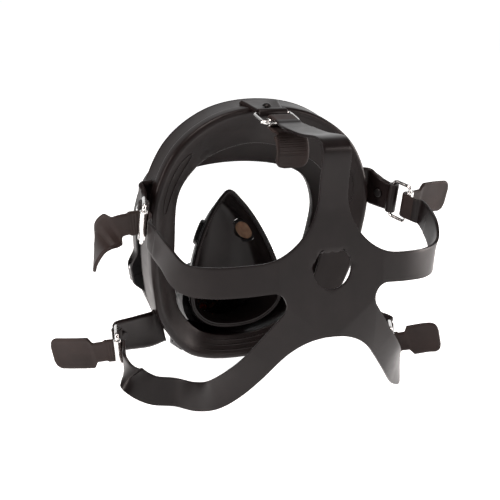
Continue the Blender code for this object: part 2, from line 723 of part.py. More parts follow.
def stud_place(site, path, across):
    """Empty on the lug's middle surface, a stud's distance from bar A, facing away from the head."""
    distance = [np.linalg.norm(point - np.array(site.origin)) for point in path]
    k = min(range(1, len(path) - 1), key=lambda i: abs(distance[i] - STUD_DISTANCE))
    ahead = Vector(path[k + 1] - path[k - 1]).normalized()
    wide = Vector(across[k])
    wide = (wide - ahead * wide.dot(ahead)).normalized()
    turn = Matrix((wide, ahead, wide.cross(ahead))).transposed()
    return empty(f"lug_stud_{site.name}_place", path[k], turn)


def buckle(site, mats):
    """Wire frame and roller of one buckle, and the strap's end wrapped round the roller."""
    steel = mats["steel"]
    place = empty(f"buckle_{site.name}_place", site.origin, site.matrix())
    corner = 3.0
    path = rounded_rectangle(-BUCKLE_HALF_WIDTH, BUCKLE_HALF_WIDTH, 0.0, BUCKLE_REACH, corner)
    wire_loop(f"buckle_frame_{site.name}", path, WIRE, steel, place)
    quarter = Matrix.Rotation(math.pi / 2, 3, "Y")
    roller_place = empty(f"roller_{site.name}_place", (0, BUCKLE_REACH, 0), quarter, place)
    sleeve = ring_profile(WIRE + GAP, ROLLER, -11.2, 11.2)
    lathe(f"buckle_roller_{site.name}", sleeve, steel, roller_place, 18)
    strap_tail(site, mats["strap"], place)


def rounded_rectangle(x0, x1, y0, y1, radius, steps=4):
    points = []
    corners = ((x1 - radius, y1 - radius, 0), (x0 + radius, y1 - radius, 90),
               (x0 + radius, y0 + radius, 180), (x1 - radius, y0 + radius, 270))
    for cx, cy, start in corners:
        for k in range(steps + 1):
            angle = math.radians(start + 90 * k / steps)
            points.append((cx + radius * math.cos(angle), cy + radius * math.sin(angle), 0.0))
    return points


def strap_tail(site, mat, place):
    """Strap end: a short lead, the wrap round the roller, a notched neck and a paddle."""
    s = -site.side
    lead = [np.array((0.0, BUCKLE_REACH + ARM_END - JOIN_GAP, s * WRAP)),
            np.array((0.0, BUCKLE_REACH + 4.0, s * WRAP))]
    wrap = []
    steps = 8
    for k in range(steps + 1):
        angle = math.radians(90 + (site.wrap_end - 90) * k / steps)
        wrap.append(np.array((0.0, BUCKLE_REACH + WRAP * math.cos(angle), s * WRAP * math.sin(angle))))
    tail = open_curve([wrap[-1]] + [np.array(p, float) for p in site.tail], 4)[1:]
    centres = lead + wrap + tail
    across = [np.array((1.0, 0, 0))] * (len(lead) + len(wrap))
    turns = open_curve([(1.0, 0, 0)] + list(site.tail_across), 4)[1:]
    across += turns
    neck = len(lead) + len(wrap)
    half = []
    for k in range(len(centres)):
        share = (k - neck) / (len(tail) - 1)
        half.append(tail_half_width(share))
    ribbon(f"strap_tail_{site.name}", centres, across, half, STRAP_THICKNESS, mat, place)


def tail_half_width(share):
    """Half width along a tail: a neck at its start, then a paddle with a rounded end."""
    if share < 0.25:
        return 9.8
    if share < 0.4:
        return 8.6
    if share > 0.99:
        return 9.5
    return 13.5


# ---------------------------------------------------------------- head harness

PLANAR = 42.0                  # the harness stays flat to this distance from the hub centre
COLUMNS = 3

# Arms in turn round the hub: name, direction in the hub plane (degrees from +X towards +Z), the far
# side's web angle and reach, then the centre line past the hub and the strap's width direction there.
ARMS = (
    ("temple_left", -4.0, ((66, 103, 111.5), (88, 93, 110.5), (103, 80, 113), (111, 65, 127)),
     ((0, 0, 1), (0, 0, 1), (0, 0.2, 1), (0, 0.5, 0.9))),
    ("top", 90.0, ((0, 108.5, 176), (0, 112, 197), (0, 109.5, 205.0), (0, 101, 208.5), (0, 76, 208.5)),
     ((1, 0, 0),) * 5),
    ("temple_right", 184.0, ((-66, 103, 111.5), (-88, 93, 110.5), (-103, 80, 113), (-111, 65, 127)),
     ((0, 0, 1), (0, 0, 1), (0, 0.2, 1), (0, 0.5, 0.9))),
    ("lower_right", 232.0, ((-44, 99, 60), (-64, 84, 38), (-82, 62, 20), (-96, 44, 12.4),
                            (-104.5, 30, 11.9)),
     ((-0.7, 0, 0.7), (-0.5, 0.1, 0.8), (-0.2, 0.1, 1), (0, 0, 1), (0, 0, 1))),
    ("lower_left", 308.0, ((43, 99, 60), (58, 84, 38), (70, 62, 20), (77, 40, 12.2), (87, 22, 11.9),
                           (105, 20, 15.5), (119, 18, 25)),
     ((0.7, 0, 0.7), (0.5, 0.1, 0.8), (0.2, 0.1, 1), (0, 0, 1), (0, 0, 1), (0, 0, 1), (0, -0.1, 1))),
)
WEB_REACH = {("temple_left", "top"): 33.0, ("top", "temple_right"): 33.0,
             ("temple_right", "lower_right"): 42.0, ("lower_right", "lower_left"): 50.0,
             ("lower_left", "temple_left"): 42.0}


def web_edge(half_angle, reach, sign):
    """Edge of one arm in its own plane: out along the web's middle line, round the web, to the arm."""
    points = []
    for k in range(4):
        distance = HUB_HOLE + (reach - HUB_HOLE) * k / 3
        points.append((distance * math.cos(half_angle), distance * math.sin(half_angle)))
    start = np.array(points[-1])
    length = (start[1] - STRAP / 2) / math.cos(half_angle)
    corner = np.array((start[0] + length * math.sin(half_angle), STRAP / 2))
    end = corner + np.array((length, 0.0))
    for k in range(1, 6):
        t = k / 5
        point = start * (1 - t) ** 2 + corner * 2 * t * (1 - t) + end * t ** 2
        points.append(tuple(point))
    return [(s, t * sign) for s, t in points]


def arm_map(name, angle, route, turns):
    """Function from (distance along the arm, distance across it) to a world point, and the arm's length."""
    site = next(entry for entry in SITES if entry.name == name)
    direction = np.array((math.cos(angle), 0.0, math.sin(angle)))
    across = np.array((-math.sin(angle), 0.0, math.cos(angle)))
    shift = np.array((0.0, BOX_CENTRE_SHIFT, 0.0))
    hub = np.array(HUB)
    side = -site.side * WRAP
    reach = BUCKLE_REACH + ARM_END
    ends = [site.world((0, reach + 7.0, side)), site.world((0, reach, side))]
    start = [hub + direction * 30.0, hub + direction * PLANAR]
    points = start + [np.array(p, float) + shift for p in route] + ends
    bar = np.array(site.bar)
    wide = [across, across] + [np.array(t, float) for t in turns] + [bar, bar]
    for k in range(2, len(wide)):
        if wide[k].dot(wide[k - 1]) < 0:
            wide[k] = -wide[k]
    steps = 6
    line = np.array(open_curve(points, steps)[steps:])
    width = np.array(open_curve(wide, steps)[steps:])
    travelled = PLANAR + np.concatenate(([0.0], np.cumsum(np.linalg.norm(np.diff(line, axis=0), axis=1))))

    def place(s, t):
        if s <= PLANAR:
            return hub + direction * s + across * t
        centre = np.array([np.interp(s, travelled, line[:, i]) for i in range(3)])
        ahead = np.array([np.interp(s + 1.5, travelled, line[:, i]) for i in range(3)])
        behind = np.array([np.interp(s - 1.5, travelled, line[:, i]) for i in range(3)])
        tangent = ahead - behind
        vector = np.array([np.interp(s, travelled, width[:, i]) for i in range(3)])
        vector = vector - tangent * vector.dot(tangent) / tangent.dot(tangent)
        return centre + vector / np.linalg.norm(vector) * t
    return place, travelled[-1]


def head_harness(mat):
    """Hub with a round hole and five arms, one flat sheet bent into place and given its thickness."""
    verts = []
    faces = []
    count = len(ARMS)
    for k, (name, degrees, route, turns) in enumerate(ARMS):
        before = ARMS[k - 1]
        after = ARMS[(k + 1) % count]
        right_half = math.radians(((degrees - before[1]) % 360) / 2)
        left_half = math.radians(((after[1] - degrees) % 360) / 2)
        left = web_edge(left_half, WEB_REACH[(name, after[0])], 1)
        right = web_edge(right_half, WEB_REACH[(before[0], name)], -1)
        place, length = arm_map(name, math.radians(degrees), route, turns)
        straight = max(left[-1][0], right[-1][0]) + 3.0
        run = max(3, round((length - straight) / 7.0))
        for j in range(run + 1):
            s = straight + (length - straight) * j / run
            left.append((s, STRAP / 2))
            right.append((s, -STRAP / 2))
        first = len(verts)
        for j in range(len(left)):
            for c in range(COLUMNS + 1):
                share = c / COLUMNS
                if j == 0:
                    angle = between(-right_half, left_half, share)
                    s, t = HUB_HOLE * math.cos(angle), HUB_HOLE * math.sin(angle)
                else:
                    s = between(right[j][0], left[j][0], share)
                    t = between(right[j][1], left[j][1], share)
                verts.append(tuple(place(s, t)))
        wide = COLUMNS + 1
        for j in range(len(left) - 1):
            for c in range(COLUMNS):
                a = first + j * wide + c
                faces.append((a, a + 1, a + wide + 1, a + wide))
    obj = mesh_object("head_harness", verts, faces, mat)
    solidify(obj, STRAP_THICKNESS, offset=0.0)


# ---------------------------------------------------------------- studs and assembly

def lug_stud(site, mat, body, place):
    """Rivet through the lug behind bar A: a domed head, a shank and a flat tail."""
    stud = ((0.0, 4.8), (2.0, 4.5), (3.6, 3.2), (3.7, 2.7), (1.7, 2.7),
            (1.7, -2.7), (3.4, -2.7), (3.2, -3.6), (0.0, -3.6))
    lathe(f"lug_stud_{site.name}", stud, mat, place, 12)
    spot_faced = ((0.0, -9.0), (4.0, -9.0), (4.0, -2.4), (1.7 + GAP, -2.4), (1.7 + GAP, 2.4), (4.0, 2.4),
                  (4.0, 9.0), (0.0, 9.0))
    hole = lathe(f"lug_stud_hole_{site.name}", spot_faced, mat, place, 12)
    boolean(body, hole, "DIFFERENCE")


def make_materials():
    return {
        "rubber": material("face_rubber", (0.030, 0.022, 0.022), 0.55),
        "strap": material("harness_rubber", (0.035, 0.028, 0.028), 0.60),
        "plastic": material("black_plastic", (0.020, 0.020, 0.022), 0.40),
        "lens": material("clear_visor", (0.90, 0.93, 0.93), 0.05, alpha=0.25),
        "silicone": material("tan_silicone", (0.18, 0.11, 0.08), 0.45),
        "steel": material("bright_steel", (0.75, 0.75, 0.74), 0.22, metallic=1.0),
    }


def build():
    clear_scene()
    mats = make_materials()
    frame = empty("facepiece_frame", CHIN, Matrix.Rotation(-LEAN, 3, "X"))
    connector = empty("connector_frame", CONNECTOR, Matrix.Rotation(math.pi / 2, 3, "X"))
    body = face_blank(mats["rubber"], frame)
    lens = visor(mats["lens"], frame)
    visor_frames(mats["plastic"], frame, connector)
    open_front(body, lens, mats["rubber"], connector)
    frame_screws(mats["steel"], frame)
    cup = nose_cup(mats["rubber"], frame)
    check_valves(mats["plastic"], mats["silicone"], cup, frame)
    housing(mats["plastic"], connector)
    connector_pieces(mats, connector)
    exhalation_valve(mats)
    for site in SITES:
        stud_at = lug(site, mats["rubber"], body)
        buckle(site, mats)
        lug_stud(site, mats["steel"], body, stud_at)
    head_harness(mats["strap"])


build()
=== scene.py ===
"""Looks of the full face respirator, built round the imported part: rubber face blank, clear visor,
nose cup, connector, exhalation valve and a five-arm head harness on roller buckles."""
import json
import math
import bpy
import bmesh
import numpy as np
from mathutils import Matrix, Vector


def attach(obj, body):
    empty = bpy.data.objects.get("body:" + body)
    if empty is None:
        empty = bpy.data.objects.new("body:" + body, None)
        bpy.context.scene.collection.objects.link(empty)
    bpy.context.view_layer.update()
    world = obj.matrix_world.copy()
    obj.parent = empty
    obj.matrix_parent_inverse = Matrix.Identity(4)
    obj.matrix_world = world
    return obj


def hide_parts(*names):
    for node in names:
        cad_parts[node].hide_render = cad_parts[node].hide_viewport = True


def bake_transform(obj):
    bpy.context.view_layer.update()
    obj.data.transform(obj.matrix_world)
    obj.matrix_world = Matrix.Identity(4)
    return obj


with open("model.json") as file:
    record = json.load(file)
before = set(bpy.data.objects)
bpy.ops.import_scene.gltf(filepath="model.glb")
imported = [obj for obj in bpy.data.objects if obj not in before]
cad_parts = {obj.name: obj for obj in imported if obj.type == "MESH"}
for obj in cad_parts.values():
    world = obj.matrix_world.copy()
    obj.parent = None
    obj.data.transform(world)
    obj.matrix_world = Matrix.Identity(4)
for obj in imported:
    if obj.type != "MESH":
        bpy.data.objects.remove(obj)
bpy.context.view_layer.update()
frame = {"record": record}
RECORD = frame["record"]
BODY_OF = {node: body for body, nodes in RECORD["behaviour"]["bodies"].items() for node in nodes}
SLOT_OF = {part["node"]: part["material_slot"] for part in RECORD["subparts"]}

MM = 0.001
GAP = 0.3
SCREW_SEAT = 5.5
SHIFT = 19.0                   # the whole assembly's place along Y
LEAN = math.radians(12.4)
CHIN = (0.0, -49.0 + SHIFT, 10.0)

# Half outlines from the top centre round the wearer's left side to the chin, in millimetres.
RIM = ((0, 0, 217.5), (42, 3, 211), (76, 9, 188), (93, 14, 150), (92.5, 15, 112),
       (87, 12, 76), (75, 7, 42), (46, 2, 9), (0, 0, 0))
APERTURE = ((0, -52, 158), (38, -50.5, 154.5), (63, -46, 144.5), (73, -42, 122), (72.5, -42, 96),
            (67.5, -43, 70), (59, -46, 46), (36, -56, 15), (0, -60, 3))
LIP = ((0, -16, 183), (34, -12, 177), (56, -5, 164), (67, -1, 145), (67, 0, 110),
       (64, -2, 76), (56, -5, 48), (33, -9, 24), (0, -10, 17))
CUP_RIM = ((0, -52, 130), (10, -49, 122), (21, -43, 108), (31, -35, 90), (38, -27, 72),
           (41, -21, 55), (38, -18, 39), (23, -18, 26), (0, -18, 22))
CUP_MIDDLE = ((0, -68, 112), (9, -66, 106), (18, -61, 95), (26, -55, 80), (31, -50, 65),
              (33, -47, 50), (30, -45, 35), (19, -44, 24), (0, -44, 18))
STEPS_PER_SPAN = 12
ROUND = 96

FLANGE_DEPTH = 25.0
FLANGE_WALL = 4.0
WALL = 3.2
LIP_THICKNESS = 1.8
BEAD = 8.0
VISOR_THICKNESS = 2.5
VISOR_EDGE = 4.0
VISOR_CENTRE = (0.0, -101.0, 84.0)
VISOR_ROWS = 30
DOME_POWER = 0.8
CUP_THICKNESS = 2.0

CONNECTOR = (0.0, -104.0 + SHIFT, 50.0)
HOUSING_RADIUS = 25.2
HOUSING_LENGTH = 26.0
COLLAR_RADIUS = 30.0
COLLAR_LENGTH = 14.0
THREAD_BORE = 20.4
THREAD_PITCH = 3.63
THREAD_TURNS = 3
KNURLS = 36

STRAP = 22.0
STRAP_THICKNESS = 2.2
HUB = (0.0, 107.0 + SHIFT, 116.0)
HUB_HOLE = 15.5
BUCKLE_HALF_WIDTH = 15.0
BUCKLE_REACH = 17.0
WIRE = 1.5
ROLLER = 3.0
EYE = 4.2
WRAP_CLEAR = 0.5
STUD_DISTANCE = 12.0


# ---------------------------------------------------------------- mesh helpers

FACEPIECE = Matrix.Translation(Vector(CHIN)) @ Matrix.Rotation(-LEAN, 4, "X")
PORT = Matrix.Translation(Vector(CONNECTOR)) @ Matrix.Rotation(math.pi / 2, 4, "X")


def mesh_object(name, verts, faces, place=None, sharp=32.0):
    """Mesh from millimetre points in a place's frame, left in world metres."""
    mesh = bpy.data.meshes.new(name)
    mesh.from_pydata([tuple(v) for v in verts], [], faces)
    if place is not None:
        mesh.transform(place)
    mesh.transform(Matrix.Scale(MM, 4))
    bm = bmesh.new()
    bm.from_mesh(mesh)
    bmesh.ops.remove_doubles(bm, verts=bm.verts, dist=0.004 * MM)
    bmesh.ops.dissolve_degenerate(bm, dist=0.003 * MM, edges=bm.edges)
    bmesh.ops.delete(bm, geom=[edge for edge in bm.edges if edge.is_wire], context="EDGES")
    bmesh.ops.recalc_face_normals(bm, faces=bm.faces)
    bm.to_mesh(mesh)
    bm.free()
    mesh.shade_smooth()
    mesh.set_sharp_from_angle(angle=math.radians(sharp))
    obj = bpy.data.objects.new(name, mesh)
    bpy.context.collection.objects.link(obj)
    return obj


def settle(obj, sharp=32.0):
    """Puts an object's modifiers into its mesh."""
    bpy.context.view_layer.update()
    graph = bpy.context.evaluated_depsgraph_get()
    mesh = bpy.data.meshes.new_from_object(obj.evaluated_get(graph), depsgraph=graph)
    old = obj.data
    obj.modifiers.clear()
    obj.data = mesh
    bpy.data.meshes.remove(old)
    mesh.shade_smooth()
    mesh.set_sharp_from_angle(angle=math.radians(sharp))
    return obj


def boolean(obj, other, operation, keep=False):
    modifier = obj.modifiers.new("boolean", "BOOLEAN")
    modifier.operation = operation
    modifier.solver = "EXACT"
    modifier.object = other
    settle(obj)
    if not keep:
        bpy.data.objects.remove(other, do_unlink=True)


def solidify(obj, thickness, offset=-1.0, even=True):
    modifier = obj.modifiers.new("thickness", "SOLIDIFY")
    modifier.thickness = thickness * MM
    modifier.offset = offset
    modifier.use_even_offset = even
    settle(obj)


def bevel(obj, width, segments=2, angle=40.0):
    modifier = obj.modifiers.new("edges", "BEVEL")
    modifier.width = width * MM
    modifier.segments = segments
    modifier.limit_method = "ANGLE"
    modifier.angle_limit = math.radians(angle)
    modifier.use_clamp_overlap = True
    modifier.harden_normals = False
    return settle(obj, 40.0)


def join(obj, others):
    """Merges other meshes into obj without a Boolean."""
    bm = bmesh.new()
    bm.from_mesh(obj.data)
    for other in others:
        bm.from_mesh(other.data)
        bpy.data.objects.remove(other, do_unlink=True)
    bm.to_mesh(obj.data)
    bm.free()


def curve_point(p0, p1, p2, p3, t):
    return 0.5 * (2 * p1 + (p2 - p0) * t + (2 * p0 - 5 * p1 + 4 * p2 - p3) * t ** 2
                  + (3 * p1 - p0 - 3 * p2 + p3) * t ** 3)


def open_curve(points, steps):
    pts = [np.array(p, float) for p in points]
    pts = [2 * pts[0] - pts[1]] + pts + [2 * pts[-1] - pts[-2]]
    out = []
    for i in range(1, len(pts) - 2):
        for k in range(steps):
            out.append(curve_point(*pts[i - 1:i + 3], k / steps))
    out.append(pts[-2])
    return out


def closed_ring(half):
    left = [np.array(p, float) for p in half]
    right = [p * np.array((-1, 1, 1)) for p in left[-2:0:-1]]
    pts = left + right
    count = len(pts)
    ring = []
    for i in range(count):
        span = [pts[(i + k) % count] for k in (-1, 0, 1, 2)]
        for k in range(STEPS_PER_SPAN):
            ring.append(curve_point(*span, k / STEPS_PER_SPAN))
    return np.array(ring)


def shifted(ring, outward, forward=0.0):
    tangent = np.roll(ring, -1, axis=0) - np.roll(ring, 1, axis=0)
    normal = np.stack([-tangent[:, 2], np.zeros(len(ring)), tangent[:, 0]], axis=1)
    normal /= np.linalg.norm(normal, axis=1)[:, None]
    middle = ring.mean(axis=0)
    side = np.sign(np.einsum("ij,ij->i", normal, ring - middle))
    return ring + normal * (side * outward)[:, None] + np.array((0.0, -forward, 0.0))


def between(a, b, share):
    return a + (b - a) * share


def loft(rings, close_rows=True, caps=False):
    count = len(rings[0])
    verts = [tuple(p) for ring in rings for p in ring]
    faces = []
    rows = len(rings)
    for r in range(rows if close_rows else rows - 1):
        a = r * count
        b = (r + 1) % rows * count
        for k in range(count):
            n = (k + 1) % count
            faces.append((a + k, a + n, b + n, b + k))
    if caps:
        faces.append(tuple(range(count)))
        faces.append(tuple(range((rows - 1) * count, rows * count)))
    return verts, faces


def rounded_rows(rings, radii, steps=3):
    """A closed row of rings with each corner between neighbouring rings rounded off."""
    count = len(rings)
    out = []
    for k in range(count):
        before, here, after = rings[k - 1], rings[k], rings[(k + 1) % count]
        if radii[k] <= 0:
            out.append(here)
            continue
        back = np.linalg.norm(before - here, axis=1)[:, None]
        on = np.linalg.norm(after - here, axis=1)[:, None]
        start = here + (before - here) * np.minimum(radii[k] / np.maximum(back, 1e-6), 0.45)
        end = here + (after - here) * np.minimum(radii[k] / np.maximum(on, 1e-6), 0.45)
        for j in range(steps + 1):
            t = j / steps
            out.append(start * (1 - t) ** 2 + here * 2 * t * (1 - t) + end * t ** 2)
    return out


def lathe(name, profile, place, steps=ROUND, edge=0.0, segments=2):
    sections = []
    for k in range(steps):
        angle = 2 * math.pi * k / steps
        sections.append([(r * math.cos(angle), r * math.sin(angle), z) for r, z in profile])
    verts, faces = loft(sections)
    obj = mesh_object(name, verts, faces, place)
    if edge:
        bevel(obj, edge, segments, 30.0)
    return obj


def ring_profile(inner, outer, low, high):
    return ((inner, low), (outer, low), (outer, high), (inner, high))


def plug_profile(radius, low, high):
    return ((0.0, low), (radius, low), (radius, high), (0.0, high))


def box(name, low, high, place=None):
    corners = [(x, y, z) for z in (low[2], high[2]) for y in (low[1], high[1]) for x in (low[0], high[0])]
    faces = [(0, 2, 3, 1), (4, 5, 7, 6), (0, 1, 5, 4), (2, 6, 7, 3), (0, 4, 6, 2), (1, 3, 7, 5)]
    return mesh_object(name, corners, faces, place)


def tube(name, path, radius, place=None, closed=False, sides=12):
    """Round tube along a path; radius may be one number or one for each point."""
    pts = [np.array(p, float) for p in path]
    count = len(pts)
    radii = radius if hasattr(radius, "__len__") else [radius] * count
    lift = None
    sections = []
    for k in range(count):
        ahead = pts[(k + 1) % count] if closed else pts[min(k + 1, count - 1)]
        behind = pts[k - 1] if closed or k else pts[0]
        tangent = ahead - behind
        tangent /= np.linalg.norm(tangent)
        if lift is None:
            lift = np.cross(tangent, (0.0, 0.0, 1.0))
            if np.linalg.norm(lift) < 0.2:
                lift = np.cross(tangent, (0.0, 1.0, 0.0))
        lift = lift - tangent * lift.dot(tangent)
        lift /= np.linalg.norm(lift)
        side = np.cross(tangent, lift)
        section = []
        for s in range(sides):
            turn = 2 * math.pi * s / sides
            section.append(pts[k] + radii[k] * (lift * math.cos(turn) + side * math.sin(turn)))
        sections.append(section)
    verts, faces = loft(sections, close_rows=closed, caps=not closed)
    return mesh_object(name, verts, faces, place, 50.0)


def face_outward(obj, inside):
    mesh = obj.data
    total = sum((p.center - inside).dot(p.normal) * p.area for p in mesh.polygons)
    if total < 0:
        mesh.flip_normals()


def strap_section(centre, wide, normal, half, thickness, rim=0.0, lift=0.0):
    """Rounded cross-section of a moulded strap, with a raised rim along both edges."""
    r = thickness / 2
    section = []
    for sign in (-1, 1):
        for k in range(5):
            turn = math.pi * (k + 0.5) / 5 - math.pi / 2
            w = half - r + r * math.cos(turn)
            section.append((sign * w, sign * r * math.sin(turn)))
        edge = sign * (half - r)
        tops = ((edge, 1.0), (edge * (1 - 1.6 / half), 1.0), (edge * (1 - 2.4 / half), 0.0))
        for w, share in tops:
            section.append((w, sign * (r + rim * share) + lift))
        for w, share in reversed(tops):
            section.append((-w, sign * (r + rim * share) + lift))
    return [centre + wide * w + normal * h for w, h in section]


# ---------------------------------------------------------------- materials

def nodes_of(name, roughness, metallic=0.0):
    mat = bpy.data.materials.new(name)
    mat.use_nodes = True
    tree = mat.node_tree
    shader = tree.nodes["Principled BSDF"]
    shader.inputs["Roughness"].default_value = roughness
    shader.inputs["Metallic"].default_value = metallic
    shader.inputs["Specular IOR Level"].default_value = 0.2 if metallic == 0.0 else 0.5
    coords = tree.nodes.new("ShaderNodeTexCoord")
    return mat, tree, shader, coords


def noise(tree, coords, scale, detail=4.0, rough=0.55, stretch=None):
    node = tree.nodes.new("ShaderNodeTexNoise")
    node.inputs["Scale"].default_value = scale
    node.inputs["Detail"].default_value = detail
    node.inputs["Roughness"].default_value = rough
    if stretch is not None:
        mapping = tree.nodes.new("ShaderNodeMapping")
        mapping.inputs["Scale"].default_value = stretch
        tree.links.new(coords.outputs["Object"], mapping.inputs["Vector"])
        tree.links.new(mapping.outputs["Vector"], node.inputs["Vector"])
    else:
        tree.links.new(coords.outputs["Object"], node.inputs["Vector"])
    return node


def ramp(tree, source, stops):
    node = tree.nodes.new("ShaderNodeValToRGB")
    elements = node.color_ramp.elements
    elements[0].position, elements[0].color = stops[0][0], (*stops[0][1], 1)
    elements[1].position, elements[1].color = stops[-1][0], (*stops[-1][1], 1)
    for place, colour in stops[1:-1]:
        extra = elements.new(place)
        extra.color = (*colour, 1)
    tree.links.new(source, node.inputs["Fac"])
    return node


def spread(tree, source, low, high):
    node = tree.nodes.new("ShaderNodeMapRange")
    node.inputs["To Min"].default_value = low
    node.inputs["To Max"].default_value = high
    node.inputs["From Min"].default_value = 0.3
    node.inputs["From Max"].default_value = 0.7
    tree.links.new(source, node.inputs["Value"])
    return node


def bump(tree, source, strength, distance, under=None):
    node = tree.nodes.new("ShaderNodeBump")
    node.inputs["Strength"].default_value = strength
    node.inputs["Distance"].default_value = distance
    tree.links.new(source, node.inputs["Height"])
    if under is not None:
        tree.links.new(under.outputs["Normal"], node.inputs["Normal"])
    return node


def moulded(name, dark, light, roughness, vary, grain, grain_depth, flow=0.00012):
    """Moulded rubber or plastic: cloudy colour, uneven gloss, fine grain and a slight surface flow."""
    mat, tree, shader, coords = nodes_of(name, roughness)
    clouds = noise(tree, coords, 38.0, 5.0, 0.6)
    middle = tuple(between(np.array(dark), np.array(light), 0.45))
    colour = ramp(tree, clouds.outputs["Fac"], ((0.32, dark), (0.52, middle), (0.72, light)))
    tree.links.new(colour.outputs["Color"], shader.inputs["Base Color"])
    gloss = noise(tree, coords, 95.0, 3.0)
    gloss = spread(tree, gloss.outputs["Fac"], roughness - vary, roughness + vary)
    tree.links.new(gloss.outputs["Result"], shader.inputs["Roughness"])
    waves = noise(tree, coords, 55.0, 2.0)
    soft = bump(tree, waves.outputs["Fac"], 0.35, flow)
    fine = noise(tree, coords, grain, 2.0)
    skin_bump = bump(tree, fine.outputs["Fac"], 0.5, grain_depth, soft)
    tree.links.new(skin_bump.outputs["Normal"], shader.inputs["Normal"])
    return mat, shader


# Name, dark and light colour, roughness, its variation, grain scale and grain depth in metres.
MOULDED = (
    ("face_rubber", (0.0070, 0.0046, 0.0045), (0.0125, 0.0083, 0.0080), 0.34, 0.035, 2600.0, 0.00002),
    ("harness_rubber", (0.0055, 0.0038, 0.0038), (0.0095, 0.0066, 0.0067), 0.33, 0.035, 3000.0, 0.00002),
    ("tail_rubber", (0.014, 0.0088, 0.0078), (0.027, 0.0170, 0.0150), 0.50, 0.06, 3000.0, 0.00002),
    ("cup_rubber", (0.006, 0.0045, 0.0045), (0.012, 0.009, 0.009), 0.32, 0.035, 2600.0, 0.00002),
    ("lip_rubber", (0.005, 0.0035, 0.0035), (0.010, 0.0075, 0.0075), 0.36, 0.06, 2600.0, 0.000015),
    ("black_plastic", (0.008, 0.008, 0.0085), (0.014, 0.014, 0.0145), 0.38, 0.06, 3400.0, 0.000025),
    ("dark_steel", (0.012, 0.011, 0.011), (0.030, 0.028, 0.028), 0.34, 0.06, 1800.0, 0.00001),
)
PLASTIC_COAT = 0.05
DARK_STEEL_METALLIC = 0.6


def make_materials():
    mats = {}
    shaders = {}
    for name, *look in MOULDED:
        mats[name], shaders[name] = moulded(name, *look)
    shaders["black_plastic"].inputs["Coat Weight"].default_value = PLASTIC_COAT
    shaders["dark_steel"].inputs["Metallic"].default_value = DARK_STEEL_METALLIC
    mats["clear_visor"] = clear_plastic()
    mats["tan_silicone"] = silicone()
    mats["bright_steel"] = steel()
    return mats


def clear_plastic():
    """Clear hard-coated polycarbonate with faint haze and wipe marks."""
    mat, tree, shader, coords = nodes_of("clear_visor", 0.03)
    haze = noise(tree, coords, 9.0, 6.0, 0.65, (1.0, 1.0, 3.0))
    gloss = spread(tree, haze.outputs["Fac"], 0.015, 0.06)
    tree.links.new(gloss.outputs["Result"], shader.inputs["Roughness"])
    tint = ramp(tree, haze.outputs["Fac"], ((0.3, (0.985, 0.992, 0.992)), (0.7, (0.965, 0.978, 0.980))))
    tree.links.new(tint.outputs["Color"], shader.inputs["Base Color"])
    shader.inputs["Transmission Weight"].default_value = 1.0
    shader.inputs["IOR"].default_value = 1.50
    ripple = noise(tree, coords, 14.0, 1.0)
    wave = bump(tree, ripple.outputs["Fac"], 0.08, 0.0004)
    tree.links.new(wave.outputs["Normal"], shader.inputs["Normal"])
    return mat


def silicone():
    """Translucent tan silicone with a slight cloud."""
    mat, tree, shader, coords = nodes_of("tan_silicone", 0.38)
    clouds = noise(tree, coords, 160.0, 4.0)
    colour = ramp(tree, clouds.outputs["Fac"], ((0.3, (0.15, 0.088, 0.058)), (0.7, (0.24, 0.155, 0.105))))
    tree.links.new(colour.outputs["Color"], shader.inputs["Base Color"])
    shader.inputs["Subsurface Weight"].default_value = 0.35
    shader.inputs["Subsurface Radius"].default_value = (0.003, 0.0015, 0.001)
    shader.inputs["Subsurface Scale"].default_value = 0.6
    fine = noise(tree, coords, 1800.0, 2.0)
    grain = bump(tree, fine.outputs["Fac"], 0.3, 0.00002)
    tree.links.new(grain.outputs["Normal"], shader.inputs["Normal"])
    return mat


def steel():
    """Bright polished wire steel with drawing lines and small scuffs."""
    mat, tree, shader, coords = nodes_of("bright_steel", 0.2, 1.0)
    lines = noise(tree, coords, 900.0, 3.0, 0.6, (1.0, 1.0, 0.15))
    colour = ramp(tree, lines.outputs["Fac"], ((0.3, (0.62, 0.61, 0.60)), (0.7, (0.86, 0.855, 0.85))))
    tree.links.new(colour.outputs["Color"], shader.inputs["Base Color"])
    scuffs = noise(tree, coords, 240.0, 4.0)
    gloss = spread(tree, scuffs.outputs["Fac"], 0.13, 0.30)
    tree.links.new(gloss.outputs["Result"], shader.inputs["Roughness"])
    marks = bump(tree, lines.outputs["Fac"], 0.25, 0.00001)
    tree.links.new(marks.outputs["Normal"], shader.inputs["Normal"])
    return mat


MATS = make_materials()


def skin(obj, mat, nodes=(), body=None, slot=None):
    """Gives a piece its material and body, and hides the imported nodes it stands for."""
    obj.data.materials.clear()
    obj.data.materials.append(MATS[mat])
    for polygon in obj.data.polygons:
        polygon.material_index = 0
    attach(obj, body or BODY_OF[nodes[0]])
    if nodes:
        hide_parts(*nodes)
    slot or SLOT_OF[nodes[0]]


def turned(node, mat, profile, place, steps=ROUND, edge=0.0, segments=2):
    """A round piece that stands for one node."""
    skin(lathe(f"{node}_skin", profile, place, steps, edge, segments), mat, (node,))


def smooth(share):
    """Smooth step from 0 to 1."""
    share = min(max(share, 0.0), 1.0)
    return share * share * (3 - 2 * share)


# ---------------------------------------------------------------- facepiece

